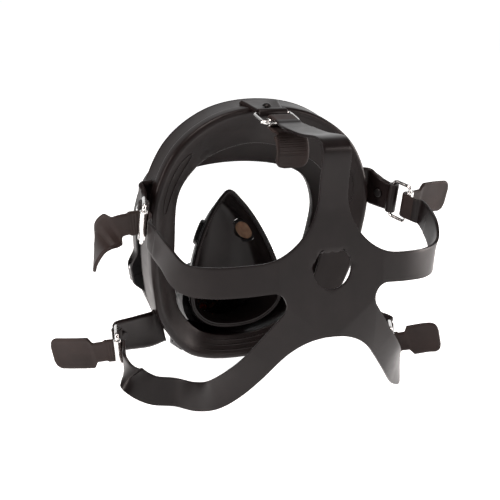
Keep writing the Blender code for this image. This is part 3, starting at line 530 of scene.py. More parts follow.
def face_blank():
    """Rubber body: flange, step, wall, visor bead and the in-turned sealing lip."""
    rim = closed_ring(RIM)
    aperture = closed_ring(APERTURE)
    lip = closed_ring(LIP)
    step = shifted(rim, -6.0, FLANGE_DEPTH + 1.5)
    bead_rear = shifted(aperture, BEAD, -4.0)
    wall = shifted(between(step, bead_rear, 0.5), 1.5)
    cheek = between(shifted(rim, -FLANGE_WALL, 1.5), lip, 0.5)
    rows = [
        (shifted(rim, 0.0, 0.5), 1.6),
        (shifted(rim, 0.0, 8.0), 0.4),
        (shifted(rim, -0.5, 9.0), 0.4),
        (shifted(rim, -0.5, FLANGE_DEPTH - 1.0), 0.4),
        (shifted(rim, 0.0, FLANGE_DEPTH), 1.6),
        (step, 1.2),
        (wall, 6.0),
        (bead_rear, 2.0),
        (shifted(aperture, BEAD, 5.0), 0.5),
        (shifted(aperture, VISOR_EDGE + GAP, 5.0), 0.0),
        (shifted(aperture, VISOR_EDGE + GAP, -2.2), 0.0),
        (shifted(aperture, 0.1, -2.2), 0.0),
        (shifted(aperture, 0.1, 1.4), 0.5),
        (shifted(aperture, -1.4, 1.4), 0.6),
        (shifted(aperture, -1.4, -4.5), 1.6),
        (shifted(wall, -2.4, -WALL), 6.0),
        (shifted(step, -2.6, -WALL), 1.5),
        (shifted(rim, -FLANGE_WALL, FLANGE_DEPTH - 5.0), 2.0),
        (shifted(rim, -FLANGE_WALL, 5.0), 2.0),
        (shifted(cheek, 0.0, 2.6), 4.0),
        (shifted(lip, 0.0, LIP_THICKNESS), 0.8),
        (lip, 0.8),
        (shifted(cheek, 0.0, -0.6), 4.0),
        (shifted(rim, -3.5, -1.5), 2.4),
    ]
    rings = rounded_rows([r for r, _ in rows], [w for _, w in rows])
    verts, faces = loft(rings)
    obj = mesh_object("face_blank_skin", verts, faces, FACEPIECE, 45.0)
    cut = lathe("collar_cut", plug_profile(COLLAR_RADIUS + GAP, -GAP, 60.0), PORT)
    boolean(obj, cut, "DIFFERENCE")
    join(obj, lip_details(rim, lip))
    skin(obj, "face_rubber", ("face_blank",))


def lip_details(rim, lip):
    """Raised lines moulded on the sealing lip: a leaf outline at each temple and ridges under the chin."""
    outer = shifted(rim, -FLANGE_WALL, -1.2)
    inner = shifted(lip, 0.0, -0.5)

    def on_lip(station, share):
        place = station * STEPS_PER_SPAN
        low = int(math.floor(place))
        near, far = low % len(outer), (low + 1) % len(outer)
        here = [between(ring[near], ring[far], place - low) for ring in (outer, inner)]
        sag = 0.7 * math.sin(math.pi * share)
        return between(here[0], here[1], share) + np.array((0.0, -sag, 0.0))

    lines = []
    for first, last in ((1.7, 3.3), (12.7, 14.3)):
        path = []
        for k in range(96):
            turn = 2 * math.pi * k / 96
            station = between(first, last, 0.5 - 0.5 * math.cos(turn))
            path.append(on_lip(station, 0.45 + 0.17 * math.sin(turn)))
        lines.append(tube("leaf_line", path, 0.42, FACEPIECE, closed=True, sides=8))
    for share in (0.25, 0.5, 0.75):
        path = []
        radii = []
        for k in range(49):
            t = k / 48
            path.append(on_lip(between(7.1, 8.9, t), share))
            radii.append(0.15 + 0.65 * math.sin(math.pi * t))
        lines.append(tube("chin_ridge", path, radii, FACEPIECE, sides=8))
    return lines


def visor():
    edge = shifted(closed_ring(APERTURE), VISOR_EDGE, -1.0)
    centre = np.array(VISOR_CENTRE)
    rows = []
    for r in range(VISOR_ROWS):
        angle = math.pi / 2 * (r / VISOR_ROWS)
        narrow = math.cos(angle) ** DOME_POWER
        rise = math.sin(angle) ** DOME_POWER
        rows.append(centre + (edge - centre) * np.array((narrow, 1 - rise, narrow)))
    verts, faces = loft(rows, close_rows=False)
    count = len(edge)
    verts.append(tuple(centre))
    last = (VISOR_ROWS - 1) * count
    for k in range(count):
        faces.append((last + k, last + (k + 1) % count, len(verts) - 1))
    obj = mesh_object("visor_skin", verts, faces, FACEPIECE)
    face_outward(obj, FACEPIECE @ Vector((0, 0, VISOR_CENTRE[2])) * MM)
    solidify(obj, VISOR_THICKNESS)
    cut = lathe("visor_collar_cut", plug_profile(COLLAR_RADIUS + GAP, -GAP, 60.0), PORT)
    boolean(obj, cut, "DIFFERENCE")
    obj.data.shade_smooth()
    obj.data.set_sharp_from_angle(angle=math.radians(40))
    skin(obj, "clear_visor", ("visor",))


SPLIT = 5 * STEPS_PER_SPAN
EAR_WIDTH = 7.0


def frame_section(rings, index, ear):
    outer = BEAD + 3.6 + ear
    near, far = rings
    edge = VISOR_EDGE + 0.8
    corners = [(BEAD + GAP, -3.0), (outer - 0.9, -3.0), (outer, -2.1), (outer, 5.6), (outer - 0.6, 7.0),
               (outer - 1.9, 7.5), (VISOR_EDGE + 2.0, 7.5), (VISOR_EDGE + 1.1, 7.1), (edge, 6.4),
               (edge, 5.0 + GAP), (BEAD + GAP, 5.0 + GAP)]
    across = far[index] - near[index]
    return [near[index] + across * w + np.array((0.0, -f, 0.0)) for w, f in corners]


def frame_half(name, stations):
    aperture = closed_ring(APERTURE)
    rings = (aperture, shifted(aperture, 1.0))
    last = len(stations) - 1
    sections = []
    for k, index in enumerate(stations):
        from_end = min(k, last - k) / STEPS_PER_SPAN
        ear = EAR_WIDTH * (1 - smooth((from_end - 0.25) / 0.5))
        sections.append(frame_section(rings, index % len(aperture), ear))
    for end, inner in ((0, 1), (last, last - 1)):
        step = np.array(sections[inner]).mean(axis=0) - np.array(sections[end]).mean(axis=0)
        step *= GAP / np.linalg.norm(step)
        sections[end] = [point + step for point in sections[end]]
    verts, faces = loft(sections, close_rows=False, caps=True)
    return mesh_object(name, verts, faces, FACEPIECE)


def screw_place(side):
    aperture = closed_ring(APERTURE)
    middle = shifted(aperture, BEAD + 7.5, 2.2)
    axis = middle[SPLIT - STEPS_PER_SPAN // 3] - middle[SPLIT]
    axis = Vector(axis * np.array((side, 1, 1))).normalized()
    turn = axis.to_track_quat("Z", "Y").to_matrix().to_4x4()
    return FACEPIECE @ Matrix.Translation(Vector(middle[SPLIT] * np.array((side, 1, 1)))) @ turn


def visor_frames():
    count = len(closed_ring(APERTURE))
    upper = frame_half("visor_frame_upper_skin", list(range(-SPLIT, SPLIT + 1)))
    lower = frame_half("visor_frame_lower_skin", list(range(SPLIT, count - SPLIT + 1)))
    profile = ((0.0, 0.0), (COLLAR_RADIUS, 0.0), (COLLAR_RADIUS, COLLAR_LENGTH - 1.2),
               (COLLAR_RADIUS - 1.2, COLLAR_LENGTH), (0.0, COLLAR_LENGTH))
    collar = lathe("lower_frame_collar", profile, PORT)
    bore = lathe("lower_frame_bore", plug_profile(HOUSING_RADIUS + GAP, -1.0, 60.0), PORT)
    for side in (1, -1):
        place = screw_place(side)
        spot = ((0.0, -24.0), (3.8, -24.0), (3.8, -SCREW_SEAT), (1.9, -SCREW_SEAT), (1.9, SCREW_SEAT),
                (3.8, SCREW_SEAT), (3.8, 24.0), (0.0, 24.0))
        hole = lathe("frame_screw_hole", spot, place, 32)
        boolean(upper, hole, "DIFFERENCE", keep=True)
        boolean(lower, hole, "DIFFERENCE")
    boolean(lower, collar, "UNION")
    boolean(lower, bore, "DIFFERENCE")
    skin(upper, "black_plastic", ("visor_frame_upper",))
    skin(lower, "black_plastic", ("visor_frame_lower",))


# ---------------------------------------------------------------- nose cup

CHECK_VALVE = (20.0, -56.5, 92.0)
CHECK_NORMAL = (0.80, -0.56, 0.22)
CHECK_HOLE = 11.0


def front_ring(count, radius, forward):
    ring = []
    back = FACEPIECE.inverted()
    for k in range(count):
        angle = 2 * math.pi * k / count
        world = (radius * math.sin(angle), CONNECTOR[1] - forward, CONNECTOR[2] + radius * math.cos(angle))
        ring.append(np.array(back @ Vector(world)))
    return np.array(ring)


def nose_cup():
    rim = closed_ring(CUP_RIM)
    middle = closed_ring(CUP_MIDDLE)
    count = len(rim)
    throat = front_ring(count, 21.0, -9.0)
    sleeve = front_ring(count, 21.0, -GAP)
    rolled = shifted(rim, -2.5, -1.5)
    key_rows = [rolled, rim, between(rim, middle, 0.5), middle, between(middle, throat, 0.5), throat, sleeve]
    columns = []
    for k in range(count):
        columns.append(open_curve([row[k] for row in key_rows], 4))
    rows = [np.array([columns[k][j] for k in range(count)]) for j in range(len(columns[0]))]
    verts, faces = loft(rows, close_rows=False)
    obj = mesh_object("nose_cup_skin", verts, faces, FACEPIECE, 60.0)
    face_outward(obj, FACEPIECE @ Vector((0, -45, 60)) * MM)
    solidify(obj, CUP_THICKNESS)
    wide = CHECK_HOLE + GAP
    stepped = ((0.0, -9.0), (8.5, -9.0), (8.5, -2.7), (wide, -2.7), (wide, 9.0), (0.0, 9.0))
    for side in (1, -1):
        hole = lathe("check_valve_hole", stepped, check_place(side), 64)
        boolean(obj, hole, "DIFFERENCE")
    bead = tube("cup_bead", shifted(rim, -0.2, -0.6), 1.5, FACEPIECE, closed=True, sides=12)
    step = tube("cup_step", between(rim, middle, 0.22), 1.35, FACEPIECE, closed=True, sides=10)
    join(obj, [bead, step])
    skin(obj, "cup_rubber", ("nose_cup",))


def check_place(side):
    flip = Vector((side, 1, 1))
    normal = Vector(CHECK_NORMAL) * flip
    turn = normal.to_track_quat("Z", "Y").to_matrix().to_4x4()
    return FACEPIECE @ Matrix.Translation(Vector(CHECK_VALVE) * flip) @ turn


def spider(name, place, reach, half_width, heights, arms, edge=0.2):
    notch = half_width / math.sin(math.pi / arms)
    outline = []
    for k in range(arms):
        angle = 2 * math.pi * k / arms
        for r, t in ((reach, -half_width), (reach, half_width)):
            x = r * math.cos(angle) - t * math.sin(angle)
            y = r * math.sin(angle) + t * math.cos(angle)
            outline.append((x, y))
        middle = angle + math.pi / arms
        outline.append((notch * math.cos(middle), notch * math.sin(middle)))
    sections = [[(x, y, z) for x, y in outline] for z in heights]
    verts, faces = loft(sections, close_rows=False, caps=True)
    star = mesh_object(name, verts, faces, place)
    return bevel(star, edge, 2, 40.0)


def check_valves():
    for side, label in ((1, "left"), (-1, "right")):
        place = check_place(side)
        wall = ring_profile(8.6, CHECK_HOLE, -2.6, 3.0)
        seat = lathe(f"check_valve_seat_{label}_skin", wall, place, 72, 0.5)
        rim = lathe("valve_lip", ring_profile(9.2, 10.4, 2.8, 3.7), place, 72, 0.3)
        ledge = lathe("valve_ledge", ring_profile(7.0, 9.0, -0.45, 1.2), place, 72, 0.1)
        join(seat, [spider("spokes", place, 9.4, 1.2, (0.4, 1.8), 4), rim, ledge])
        skin(seat, "black_plastic", (f"check_valve_seat_{label}",))
        profile = ((0.0, -1.0), (1.6, -1.35), (4.0, -1.15), (7.4, -1.4), (8.2, -1.3), (8.2, -0.7),
                   (7.6, -0.6), (4.0, -0.6), (0.0, -0.6))
        turned(f"check_valve_disc_{label}", "tan_silicone", profile, place, 72)


# ---------------------------------------------------------------- connector and exhalation valve

CHAMBER_HALF_WIDTH = 24.0
CHAMBER_REAR = -124.6 + SHIFT
CHAMBER_FRONT = -151.0 + SHIFT
CHAMBER_TOP = 27.0
CHAMBER_FLOOR = 9.0
CHAMBER_WALL = 2.0
EXHALE_RADIUS = 9.5
SPRING_FOOT = 3.8
SPRING_HEIGHT = 10.8
SPRING_RADIUS = 3.6
SPRING_WIRE = 0.4
SPRING_TURNS = 3
EXHALE = Matrix.Translation(Vector((0, (CHAMBER_FRONT + CHAMBER_REAR) / 2, 0)))


def housing():
    profile = ((20.5, 0.0), (HOUSING_RADIUS - 0.8, 0.0), (HOUSING_RADIUS, 0.8),
               (HOUSING_RADIUS, HOUSING_LENGTH), (20.5, HOUSING_LENGTH), (20.5, 21.5), (16.6, 21.5),
               (16.6, 19.5), (20.5, 19.5))
    body = lathe("connector_housing_skin", profile, PORT)
    low = (-CHAMBER_HALF_WIDTH, CHAMBER_FRONT, CHAMBER_FLOOR)
    high = (CHAMBER_HALF_WIDTH, CHAMBER_REAR, CHAMBER_TOP)
    chamber = bevel(box("chamber_block", low, high), 2.2, 4, 40.0)
    cavity_low = (low[0] + CHAMBER_WALL, low[1] + CHAMBER_WALL, low[2] - 5.0)
    cavity_high = (high[0] - CHAMBER_WALL, high[1] - CHAMBER_WALL, 20.0)
    cavity = box("chamber_cavity", cavity_low, cavity_high)
    ahead = plug_profile(HOUSING_RADIUS + GAP, HOUSING_LENGTH - 0.2, 80.0)
    recess = lathe("connector_recess", ahead, PORT)
    port = lathe("exhale_port", plug_profile(EXHALE_RADIUS, CHAMBER_FLOOR - 3.0, 23.8), EXHALE, 64)
    boolean(body, chamber, "UNION")
    boolean(body, recess, "DIFFERENCE")
    boolean(body, cavity, "DIFFERENCE")
    boolean(body, port, "DIFFERENCE")
    skin(body, "black_plastic", ("connector_housing",))


def grid():
    ring = lathe("inhalation_valve_grid_skin", ring_profile(14.6, 20.2, 14.2, 16.4), PORT, ROUND, 0.4)
    inner = lathe("grid_ring", ring_profile(7.2, 9.2, 14.4, 16.0), PORT, 64, 0.35)
    hub = lathe("grid_hub", ((0.0, 14.0), (2.6, 14.2), (3.2, 14.8), (3.2, 16.0), (0.0, 16.0)), PORT, 40)
    join(ring, [inner, hub, spider("grid_spokes", PORT, 16.0, 0.9, (14.4, 16.0), 8, 0.3)])
    skin(ring, "black_plastic", ("inhalation_valve_grid",))


def connector_pieces():
    grid()
    seat = lathe("inhalation_valve_seat_skin", ring_profile(14.2, 20.2, 21.8, 24.0), PORT, ROUND, 0.4)
    join(seat, [spider("seat_spokes", PORT, 15.2, 0.9, (22.4, 24.0), 6, 0.3)])
    skin(seat, "black_plastic", ("inhalation_valve_seat",))
    profile = ((0.0, 20.8), (3.0, 20.6), (12.0, 20.9), (15.3, 20.7), (15.6, 20.9), (15.6, 21.3),
               (15.2, 21.5), (0.0, 21.5))
    turned("inhalation_valve_disc", "tan_silicone", profile, PORT)
    turned("connector_gasket", "lip_rubber", ring_profile(16.0, 20.1, 24.3, 26.3), PORT, ROUND, 0.7, 4)
    threaded_connector()
    band = ring_profile(HOUSING_RADIUS + GAP, 29.0, COLLAR_LENGTH + GAP, 20.2)
    clamp = lathe("connector_clamp_ring_skin", band, PORT, ROUND, 0.5)
    knurls = []
    for k in range(KNURLS):
        turn = PORT @ Matrix.Rotation(math.radians(360 / KNURLS * k), 4, "Z")
        knurls.append(bevel(box("knurl", (28.4, -1.0, 15.0), (29.5, 1.0, 19.4), turn), 0.35, 2))
    join(clamp, knurls)
    skin(clamp, "black_plastic", ("connector_clamp_ring",))


def threaded_connector():
    """Socket with an internal round thread swept as a helix."""
    low = HOUSING_LENGTH + GAP
    top = low + 3.0 + THREAD_PITCH * THREAD_TURNS
    bore = THREAD_BORE + 1.2
    profile = ((HOUSING_RADIUS, low), (HOUSING_RADIUS, top - 0.8), (HOUSING_RADIUS - 0.8, top),
               (bore + 0.6, top), (bore, top - 1.0), (bore, low))
    socket = lathe("threaded_connector_skin", profile, PORT)
    path = []
    for k in range(THREAD_TURNS * 60):
        angle = 2 * math.pi * k / 60
        path.append((bore * math.cos(angle), bore * math.sin(angle), low + 2.0 + THREAD_PITCH * k / 60))
    thread = tube("thread", path, 1.15, PORT, sides=10)
    join(socket, [thread])
    skin(socket, "black_plastic", ("threaded_connector",))


def exhalation_valve():
    ring = ring_profile(EXHALE_RADIUS - 1.5, 10.8, 16.6, 19.7)
    seat = lathe("exhalation_valve_seat_skin", ring, EXHALE, 72, 0.4)
    join(seat, [spider("exhale_spokes", EXHALE, EXHALE_RADIUS, 0.8, (17.6, 19.0), 4, 0.25)])
    skin(seat, "black_plastic", ("exhalation_valve_seat",))
    profile = ((0.0, 15.4), (10.0, 15.4), (10.4, 15.6), (10.4, 16.1), (10.1, 16.3), (0.0, 16.3))
    turned("exhalation_valve_disc", "tan_silicone", profile, EXHALE, 72)
    path = []
    last = SPRING_TURNS * 40
    for k in range(last + 1):
        angle = 2 * math.pi * k / 40
        height = SPRING_FOOT + SPRING_HEIGHT * k / last
        path.append((SPRING_RADIUS * math.cos(angle), SPRING_RADIUS * math.sin(angle), height))
    coil = tube("exhalation_valve_spring_skin", path, SPRING_WIRE, EXHALE, sides=10)
    coil.data.materials.clear()
    coil.data.materials.append(MATS["bright_steel"])
    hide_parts("exhalation_valve_spring")
    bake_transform(coil)
    exhalation_cover()


def exhalation_cover():
    half = (CHAMBER_REAR - CHAMBER_FRONT) / 2
    low = (-CHAMBER_HALF_WIDTH, -half, 0.0)
    high = (CHAMBER_HALF_WIDTH, half, CHAMBER_FLOOR - GAP)
    tray = bevel(box("exhalation_cover_skin", low, high, EXHALE), 1.2, 3, 40.0)
    near = (low[0] + CHAMBER_WALL, low[1] + CHAMBER_WALL, CHAMBER_WALL)
    far = (high[0] - CHAMBER_WALL, high[1] - CHAMBER_WALL, 20.0)
    inside = box("cover_inside", near, far, EXHALE)
    boolean(tray, inside, "DIFFERENCE")
    for k in range(-3, 4):
        x = k * 6.0
        slot = box("cover_slot", (x - 2.0, low[1] - 2.0, 3.2), (x + 2.0, low[1] + 4.0, 6.8), EXHALE)
        boolean(tray, bevel(slot, 0.6, 2), "DIFFERENCE")
    for side in (1, -1):
        ends = sorted((side * 20.0, side * 27.0))
        for y in (-6.0, 0.0, 6.0):
            slot = box("cover_side_slot", (ends[0], y - 2.0, 3.2), (ends[1], y + 2.0, 6.8), EXHALE)
            boolean(tray, bevel(slot, 0.6, 2), "DIFFERENCE")
    boss = lathe("cover_boss", ((0.0, 1.0), (2.6, 1.0), (2.6, 2.7), (2.3, 3.0), (0.0, 3.0)), EXHALE, 40)
    join(tray, [boss])
    skin(tray, "black_plastic", ("exhalation_cover",))


# ---------------------------------------------------------------- screws and studs

def frame_screws():
    for side, label in ((1, "left"), (-1, "right")):
        place = screw_place(side)
        head = SCREW_SEAT + GAP
        screw = ((0.0, head + 1.4), (0.7, head + 1.4), (0.7, head + 2.6), (1.8, head + 2.6),
                 (2.9, head + 1.9), (3.2, head + 1.2), (3.2, head), (1.6, head), (1.6, -head - 3.6),
                 (1.2, -head - 4.0), (0.0, -head - 4.0))
        turned(f"frame_screw_{label}", "bright_steel", screw, place, 40)
        nut = ring_profile(1.6 + GAP, 3.2, -head - 2.8, -head)
        turned(f"frame_nut_{label}", "bright_steel", nut, place, 6, 0.25)


def lug_stud(site, place):
    stud = ((0.0, 4.8), (0.9, 4.72), (1.8, 4.45), (2.7, 3.95), (3.35, 3.3), (3.65, 2.9), (3.6, 2.55),
            (1.7, 2.5), (1.7, -2.5), (3.5, -2.6), (3.5, -3.0), (3.0, -3.6), (0.0, -3.6))
    turned(f"lug_stud_{site.name}", site.stud, stud, place, 48)


# ---------------------------------------------------------------- lugs, buckles and strap tails

WRAP = ROLLER + WRAP_CLEAR + STRAP_THICKNESS / 2
ARM_END = 11.5
JOIN_GAP = 2.6
TAIL_HALF = 9.8
NOTCH_DEPTH = 1.2
PADDLE_HALF = 13.5
PADDLE_CORNER = 6.5


class Site:
    """One buckle place; the points of its tail are in the buckle's own frame, in millimetres."""

    def __init__(self, name, strap_bar, reach, bar, root, side, tail, tail_across, wrap_end=180.0,
                 neck=13.0):
        self.name = name
        self.reach = Vector(reach).normalized()
        across = Vector(bar)
        self.bar = (across - self.reach * across.dot(self.reach)).normalized()
        self.out = self.bar.cross(self.reach)
        self.origin = Vector(strap_bar) + Vector((0, SHIFT, 0)) - self.reach * BUCKLE_REACH
        self.root = root
        self.stud = "bright_steel" if name == "temple_left" else "dark_steel"
        self.side = side
        self.tail = tail
        self.tail_across = tail_across
        self.wrap_end = wrap_end
        self.neck = neck

    def matrix(self):
        return Matrix((self.bar, self.reach, self.out)).transposed()

    def place(self):
        return Matrix.Translation(self.origin) @ self.matrix().to_4x4()

    def world(self, point):
        return np.array(self.origin + self.matrix() @ Vector(point))


SITES = (
    Site("top", (0, 25, 213), (0, 0.95, -0.30), (1, 0, 0), (0, -12, 218.5), -1,
         ((0, 32, -4.9), (0, 38, -7), (0, 42, -14), (0, 43, -26)), ((1, 0, 0),) * 4, 262.0, 6.0),
    Site("temple_left", (111, 23, 142), (0.33, 0.91, -0.24), (0, -0.25, -0.97), (93, 0, 147), 1,
         ((1, 13, 8), (4, 14, 18), (12, 14, 27), (26, 14, 32), (37, 13, 33)),
         ((1, 0, 0), (1, 0.1, 0), (0.9, 0.5, 0), (0.5, 1, 0), (0.2, 1, 0))),
    Site("temple_right", (-115, 23, 142), (-0.33, 0.91, -0.24), (0, 0.25, 0.97), (-93, 0, 147), 1,
         ((0, 12.4, 8), (0, 13, 20), (-1, 14, 36), (-3, 15, 52)), ((1, 0, 0),) * 4),
    Site("lower_left", (121, -8, 39), (0.30, 0.92, -0.25), (0, 0.26, -0.96), (72, -6, 36), 1,
         ((0, 12, 8), (2, 9, 21), (4, 3, 36), (6, -4, 51)), ((1, 0, 0),) * 4, 180.0, 9.0),
    Site("lower_right", (-119, -5, 18), (0.42, 0.89, -0.21), (0.10, 0.15, 0.97), (-72, -6, 36), 1,
         ((1, 13, 8), (4, 16, 18), (8, 20, 30), (10, 24, 40)), ((1, 0, 0),) * 4),
)
LUG_STEPS = 14
TAIL_STEPS = 16


def rim_frame(root):
    rim = closed_ring(RIM)
    k = int(np.argmin(np.linalg.norm((rim - np.array(root)) * (1, 0, 1), axis=1)))
    ahead = rim[(k + 1) % len(rim)] - rim[k - 1]
    ahead /= np.linalg.norm(ahead)
    outward = shifted(rim, 1.0)[k] - rim[k]
    turn = FACEPIECE.to_3x3()
    return np.array(turn @ Vector(outward)), np.array(turn @ Vector(ahead))


def swept_strap(name, centres, across, halves, thickness, place=None, rims=None, lifts=None):
    sections = []
    last = len(centres) - 1
    for k, centre in enumerate(centres):
        tangent = np.array(centres[min(k + 1, last)]) - np.array(centres[max(k - 1, 0)])
        wide = np.array(across[k], float)
        wide = wide - tangent * wide.dot(tangent) / tangent.dot(tangent)
        wide /= np.linalg.norm(wide)
        normal = np.cross(tangent, wide)
        normal /= np.linalg.norm(normal)
        rim = 0.0 if rims is None else rims[k]
        lift = 0.0 if lifts is None else lifts[k]
        sections.append(strap_section(np.array(centre), wide, normal, halves[k], thickness, rim, lift))
    verts, faces = loft(sections, close_rows=False, caps=True)
    return mesh_object(name, verts, faces, place, 50.0)


def lug(site):
    """Tapered rubber tab with raised edges, a thickened eye round bar A, and its stud's place."""
    outward, ahead = rim_frame(site.root)
    root = np.array(FACEPIECE @ Vector(site.root))
    bar = np.array(site.bar)
    if ahead.dot(bar) < 0:
        ahead = -ahead
    end = site.world((0, -2.9, 0))
    before = site.world((0, -site.neck, 0))
    leave = root + outward * 0.4 * site.neck + (before - root) * 0.12
    points = (root - outward * 1.5, leave, between(leave, before, 0.5), before, end)
    if site.neck < 8.0:
        points = (root - outward * 1.0, end)
    path = open_curve(points, LUG_STEPS)
    last = len(path) - 1
    across = [between(ahead * 0.6 + bar * 0.4, bar, k / last) for k in range(last + 1)]
    half = [between(17.0, 11.8, (k / last) ** 0.8) for k in range(last + 1)]
    tab = swept_strap(f"lug_{site.name}", path, across, half, 3.2, rims=[0.35] * len(path))
    eye_place = site.place() @ Matrix.Rotation(math.pi / 2, 4, "Y")
    eye = lathe(f"lug_{site.name}_eye", ring_profile(WIRE + GAP, EYE, -12.0, 12.0), eye_place, 48, 0.8, 3)
    join(tab, [eye])
    skin(tab, "face_rubber", body=BODY_OF["face_blank"], slot="face_rubber")
    coarse = open_curve(points, 3)
    top = len(coarse) - 1
    distance = [np.linalg.norm(point - np.array(site.origin)) for point in coarse]
    k = min(range(1, top), key=lambda i: abs(distance[i] - STUD_DISTANCE))
    forward = Vector(coarse[k + 1] - coarse[k - 1]).normalized()
    wide = Vector(between(ahead * 0.6 + bar * 0.4, bar, k / top))
    wide = (wide - forward * wide.dot(forward)).normalized()
    turn = Matrix((wide, forward, wide.cross(forward))).transposed()
    return Matrix.Translation(Vector(coarse[k])) @ turn.to_4x4()


def rounded_rectangle(x0, x1, y0, y1, radius, steps=12):
    points = []
    corners = ((x1 - radius, y1 - radius, 0), (x0 + radius, y1 - radius, 90),
               (x0 + radius, y0 + radius, 180), (x1 - radius, y0 + radius, 270))
    for cx, cy, start in corners:
        for k in range(steps + 1):
            angle = math.radians(start + 90 * k / steps)
            points.append((cx + radius * math.cos(angle), cy + radius * math.sin(angle), 0.0))
    return points


def buckle(site):
    place = site.place()
    path = rounded_rectangle(-BUCKLE_HALF_WIDTH, BUCKLE_HALF_WIDTH, 0.0, BUCKLE_REACH, 3.0)
    wire = tube(f"buckle_frame_{site.name}_skin", path, WIRE, place, closed=True, sides=20)
    skin(wire, "bright_steel", (f"buckle_frame_{site.name}",))
    roller_place = place @ Matrix.Translation((0, BUCKLE_REACH, 0)) @ Matrix.Rotation(math.pi / 2, 4, "Y")
    sleeve = ring_profile(WIRE + GAP, ROLLER, -11.2, 11.2)
    turned(f"buckle_roller_{site.name}", "bright_steel", sleeve, roller_place, 48, 0.3)
    strap_tail(site, place)


def tail_half_width(run, total):
    """Half width along a tail, in millimetres from the wrap: a notched neck, then a round-cornered paddle."""
    left = total - run
    corner = PADDLE_CORNER
    neck = TAIL_HALF - NOTCH_DEPTH * smooth((run - 0.16 * total) / 2.0)
    half = between(neck, PADDLE_HALF, smooth((run - 0.33 * total) / 4.0))
    if left < corner:
        half -= corner - math.sqrt(max(corner ** 2 - (corner - left) ** 2, 0.0))
    return half


def ribs(run, height, pitch, first, last):
    return [height * math.sin(2 * math.pi * r / pitch) if first < r < last else 0.0 for r in run]


def strap_tail(site, place):
    s = -site.side
    lead = [np.array((0.0, BUCKLE_REACH + ARM_END - JOIN_GAP - 4.9 * k / 6, s * WRAP)) for k in range(7)]
    wrap = []
    steps = 30
    for k in range(steps + 1):
        angle = math.radians(90 + (site.wrap_end - 90) * k / steps)
        wrap.append(np.array((0.0, BUCKLE_REACH + WRAP * math.cos(angle), s * WRAP * math.sin(angle))))
    lead[-1] = between(lead[-2], wrap[0], 0.4)
    tail = open_curve([wrap[-1]] + [np.array(p, float) for p in site.tail], TAIL_STEPS)[1:]
    centres = lead + wrap + tail
    across = [np.array((1.0, 0, 0))] * (len(lead) + len(wrap))
    across += open_curve([(1.0, 0, 0)] + list(site.tail_across), TAIL_STEPS)[1:]
    run = np.concatenate(([0.0], np.cumsum(np.linalg.norm(np.diff(np.array(centres), axis=0), axis=1))))
    start = run[len(lead) + len(wrap) - 1]
    total = run[-1] - start
    half = [TAIL_HALF if r < start else tail_half_width(r - start, total) for r in run]
    if site.name == "top":
        lifts = ribs(run - start, 0.22, 1.6, 0.0, total - 3.0)
    else:
        lifts = ribs(run - start, 0.16, 2.0, 1.0, 9.0)
    rims = [0.22 if start + 4.0 < r < run[-1] - 2.0 else 0.0 for r in run]
    name = f"strap_tail_{site.name}"
    tail_mesh = swept_strap(f"{name}_skin", centres, across, half, STRAP_THICKNESS, place, rims, lifts)
    skin(tail_mesh, "tail_rubber", (name,))


# ---------------------------------------------------------------- head harness

PLANAR = 42.0
COLUMNS = 10
ARM_STEPS = 24

ARMS = (
    ("temple_left", -4.0, ((66, 103, 111.5), (88, 93, 110.5), (103, 80, 113), (111, 65, 127)),
     ((0, 0, 1), (0, 0, 1), (0, 0.2, 1), (0, 0.5, 0.9))),
    ("top", 90.0, ((0, 108.5, 176), (0, 112, 197), (0, 109.5, 205.0), (0, 101, 208.5), (0, 76, 208.5)),
     ((1, 0, 0),) * 5),
    ("temple_right", 184.0, ((-66, 103, 111.5), (-88, 93, 110.5), (-103, 80, 113), (-111, 65, 127)),
     ((0, 0, 1), (0, 0, 1), (0, 0.2, 1), (0, 0.5, 0.9))),
    ("lower_right", 232.0, ((-44, 99, 60), (-64, 84, 38), (-82, 62, 20), (-96, 44, 12.4),
                            (-104.5, 30, 11.9)),
     ((-0.7, 0, 0.7), (-0.5, 0.1, 0.8), (-0.2, 0.1, 1), (0, 0, 1), (0, 0, 1))),
    ("lower_left", 308.0, ((43, 99, 60), (58, 84, 38), (70, 62, 20), (77, 40, 12.2), (87, 22, 11.9),
                           (105, 20, 15.5), (119, 18, 25)),
     ((0.7, 0, 0.7), (0.5, 0.1, 0.8), (0.2, 0.1, 1), (0, 0, 1), (0, 0, 1), (0, 0, 1), (0, -0.1, 1))),
)
WEB_REACH = {("temple_left", "top"): 33.0, ("top", "temple_right"): 33.0,
             ("temple_right", "lower_right"): 42.0, ("lower_right", "lower_left"): 50.0,
             ("lower_left", "temple_left"): 42.0}
BRIDGE = 18.0                  # length of each arm's last piece, which runs up to its buckle


def web_edge(half_angle, reach, sign):
    points = []
    for k in range(8):
        distance = HUB_HOLE + (reach - HUB_HOLE) * k / 7
        points.append((distance * math.cos(half_angle), distance * math.sin(half_angle)))
    start = np.array(points[-1])
    length = (start[1] - STRAP / 2) / math.cos(half_angle)
    corner = np.array((start[0] + length * math.sin(half_angle), STRAP / 2))
    end = corner + np.array((length, 0.0))
    for k in range(1, 21):
        t = k / 20
        point = start * (1 - t) ** 2 + corner * 2 * t * (1 - t) + end * t ** 2
        points.append(tuple(point))
    return [(s, t * sign) for s, t in points]


def site_named(name):
    return next(site for site in SITES if site.name == name)


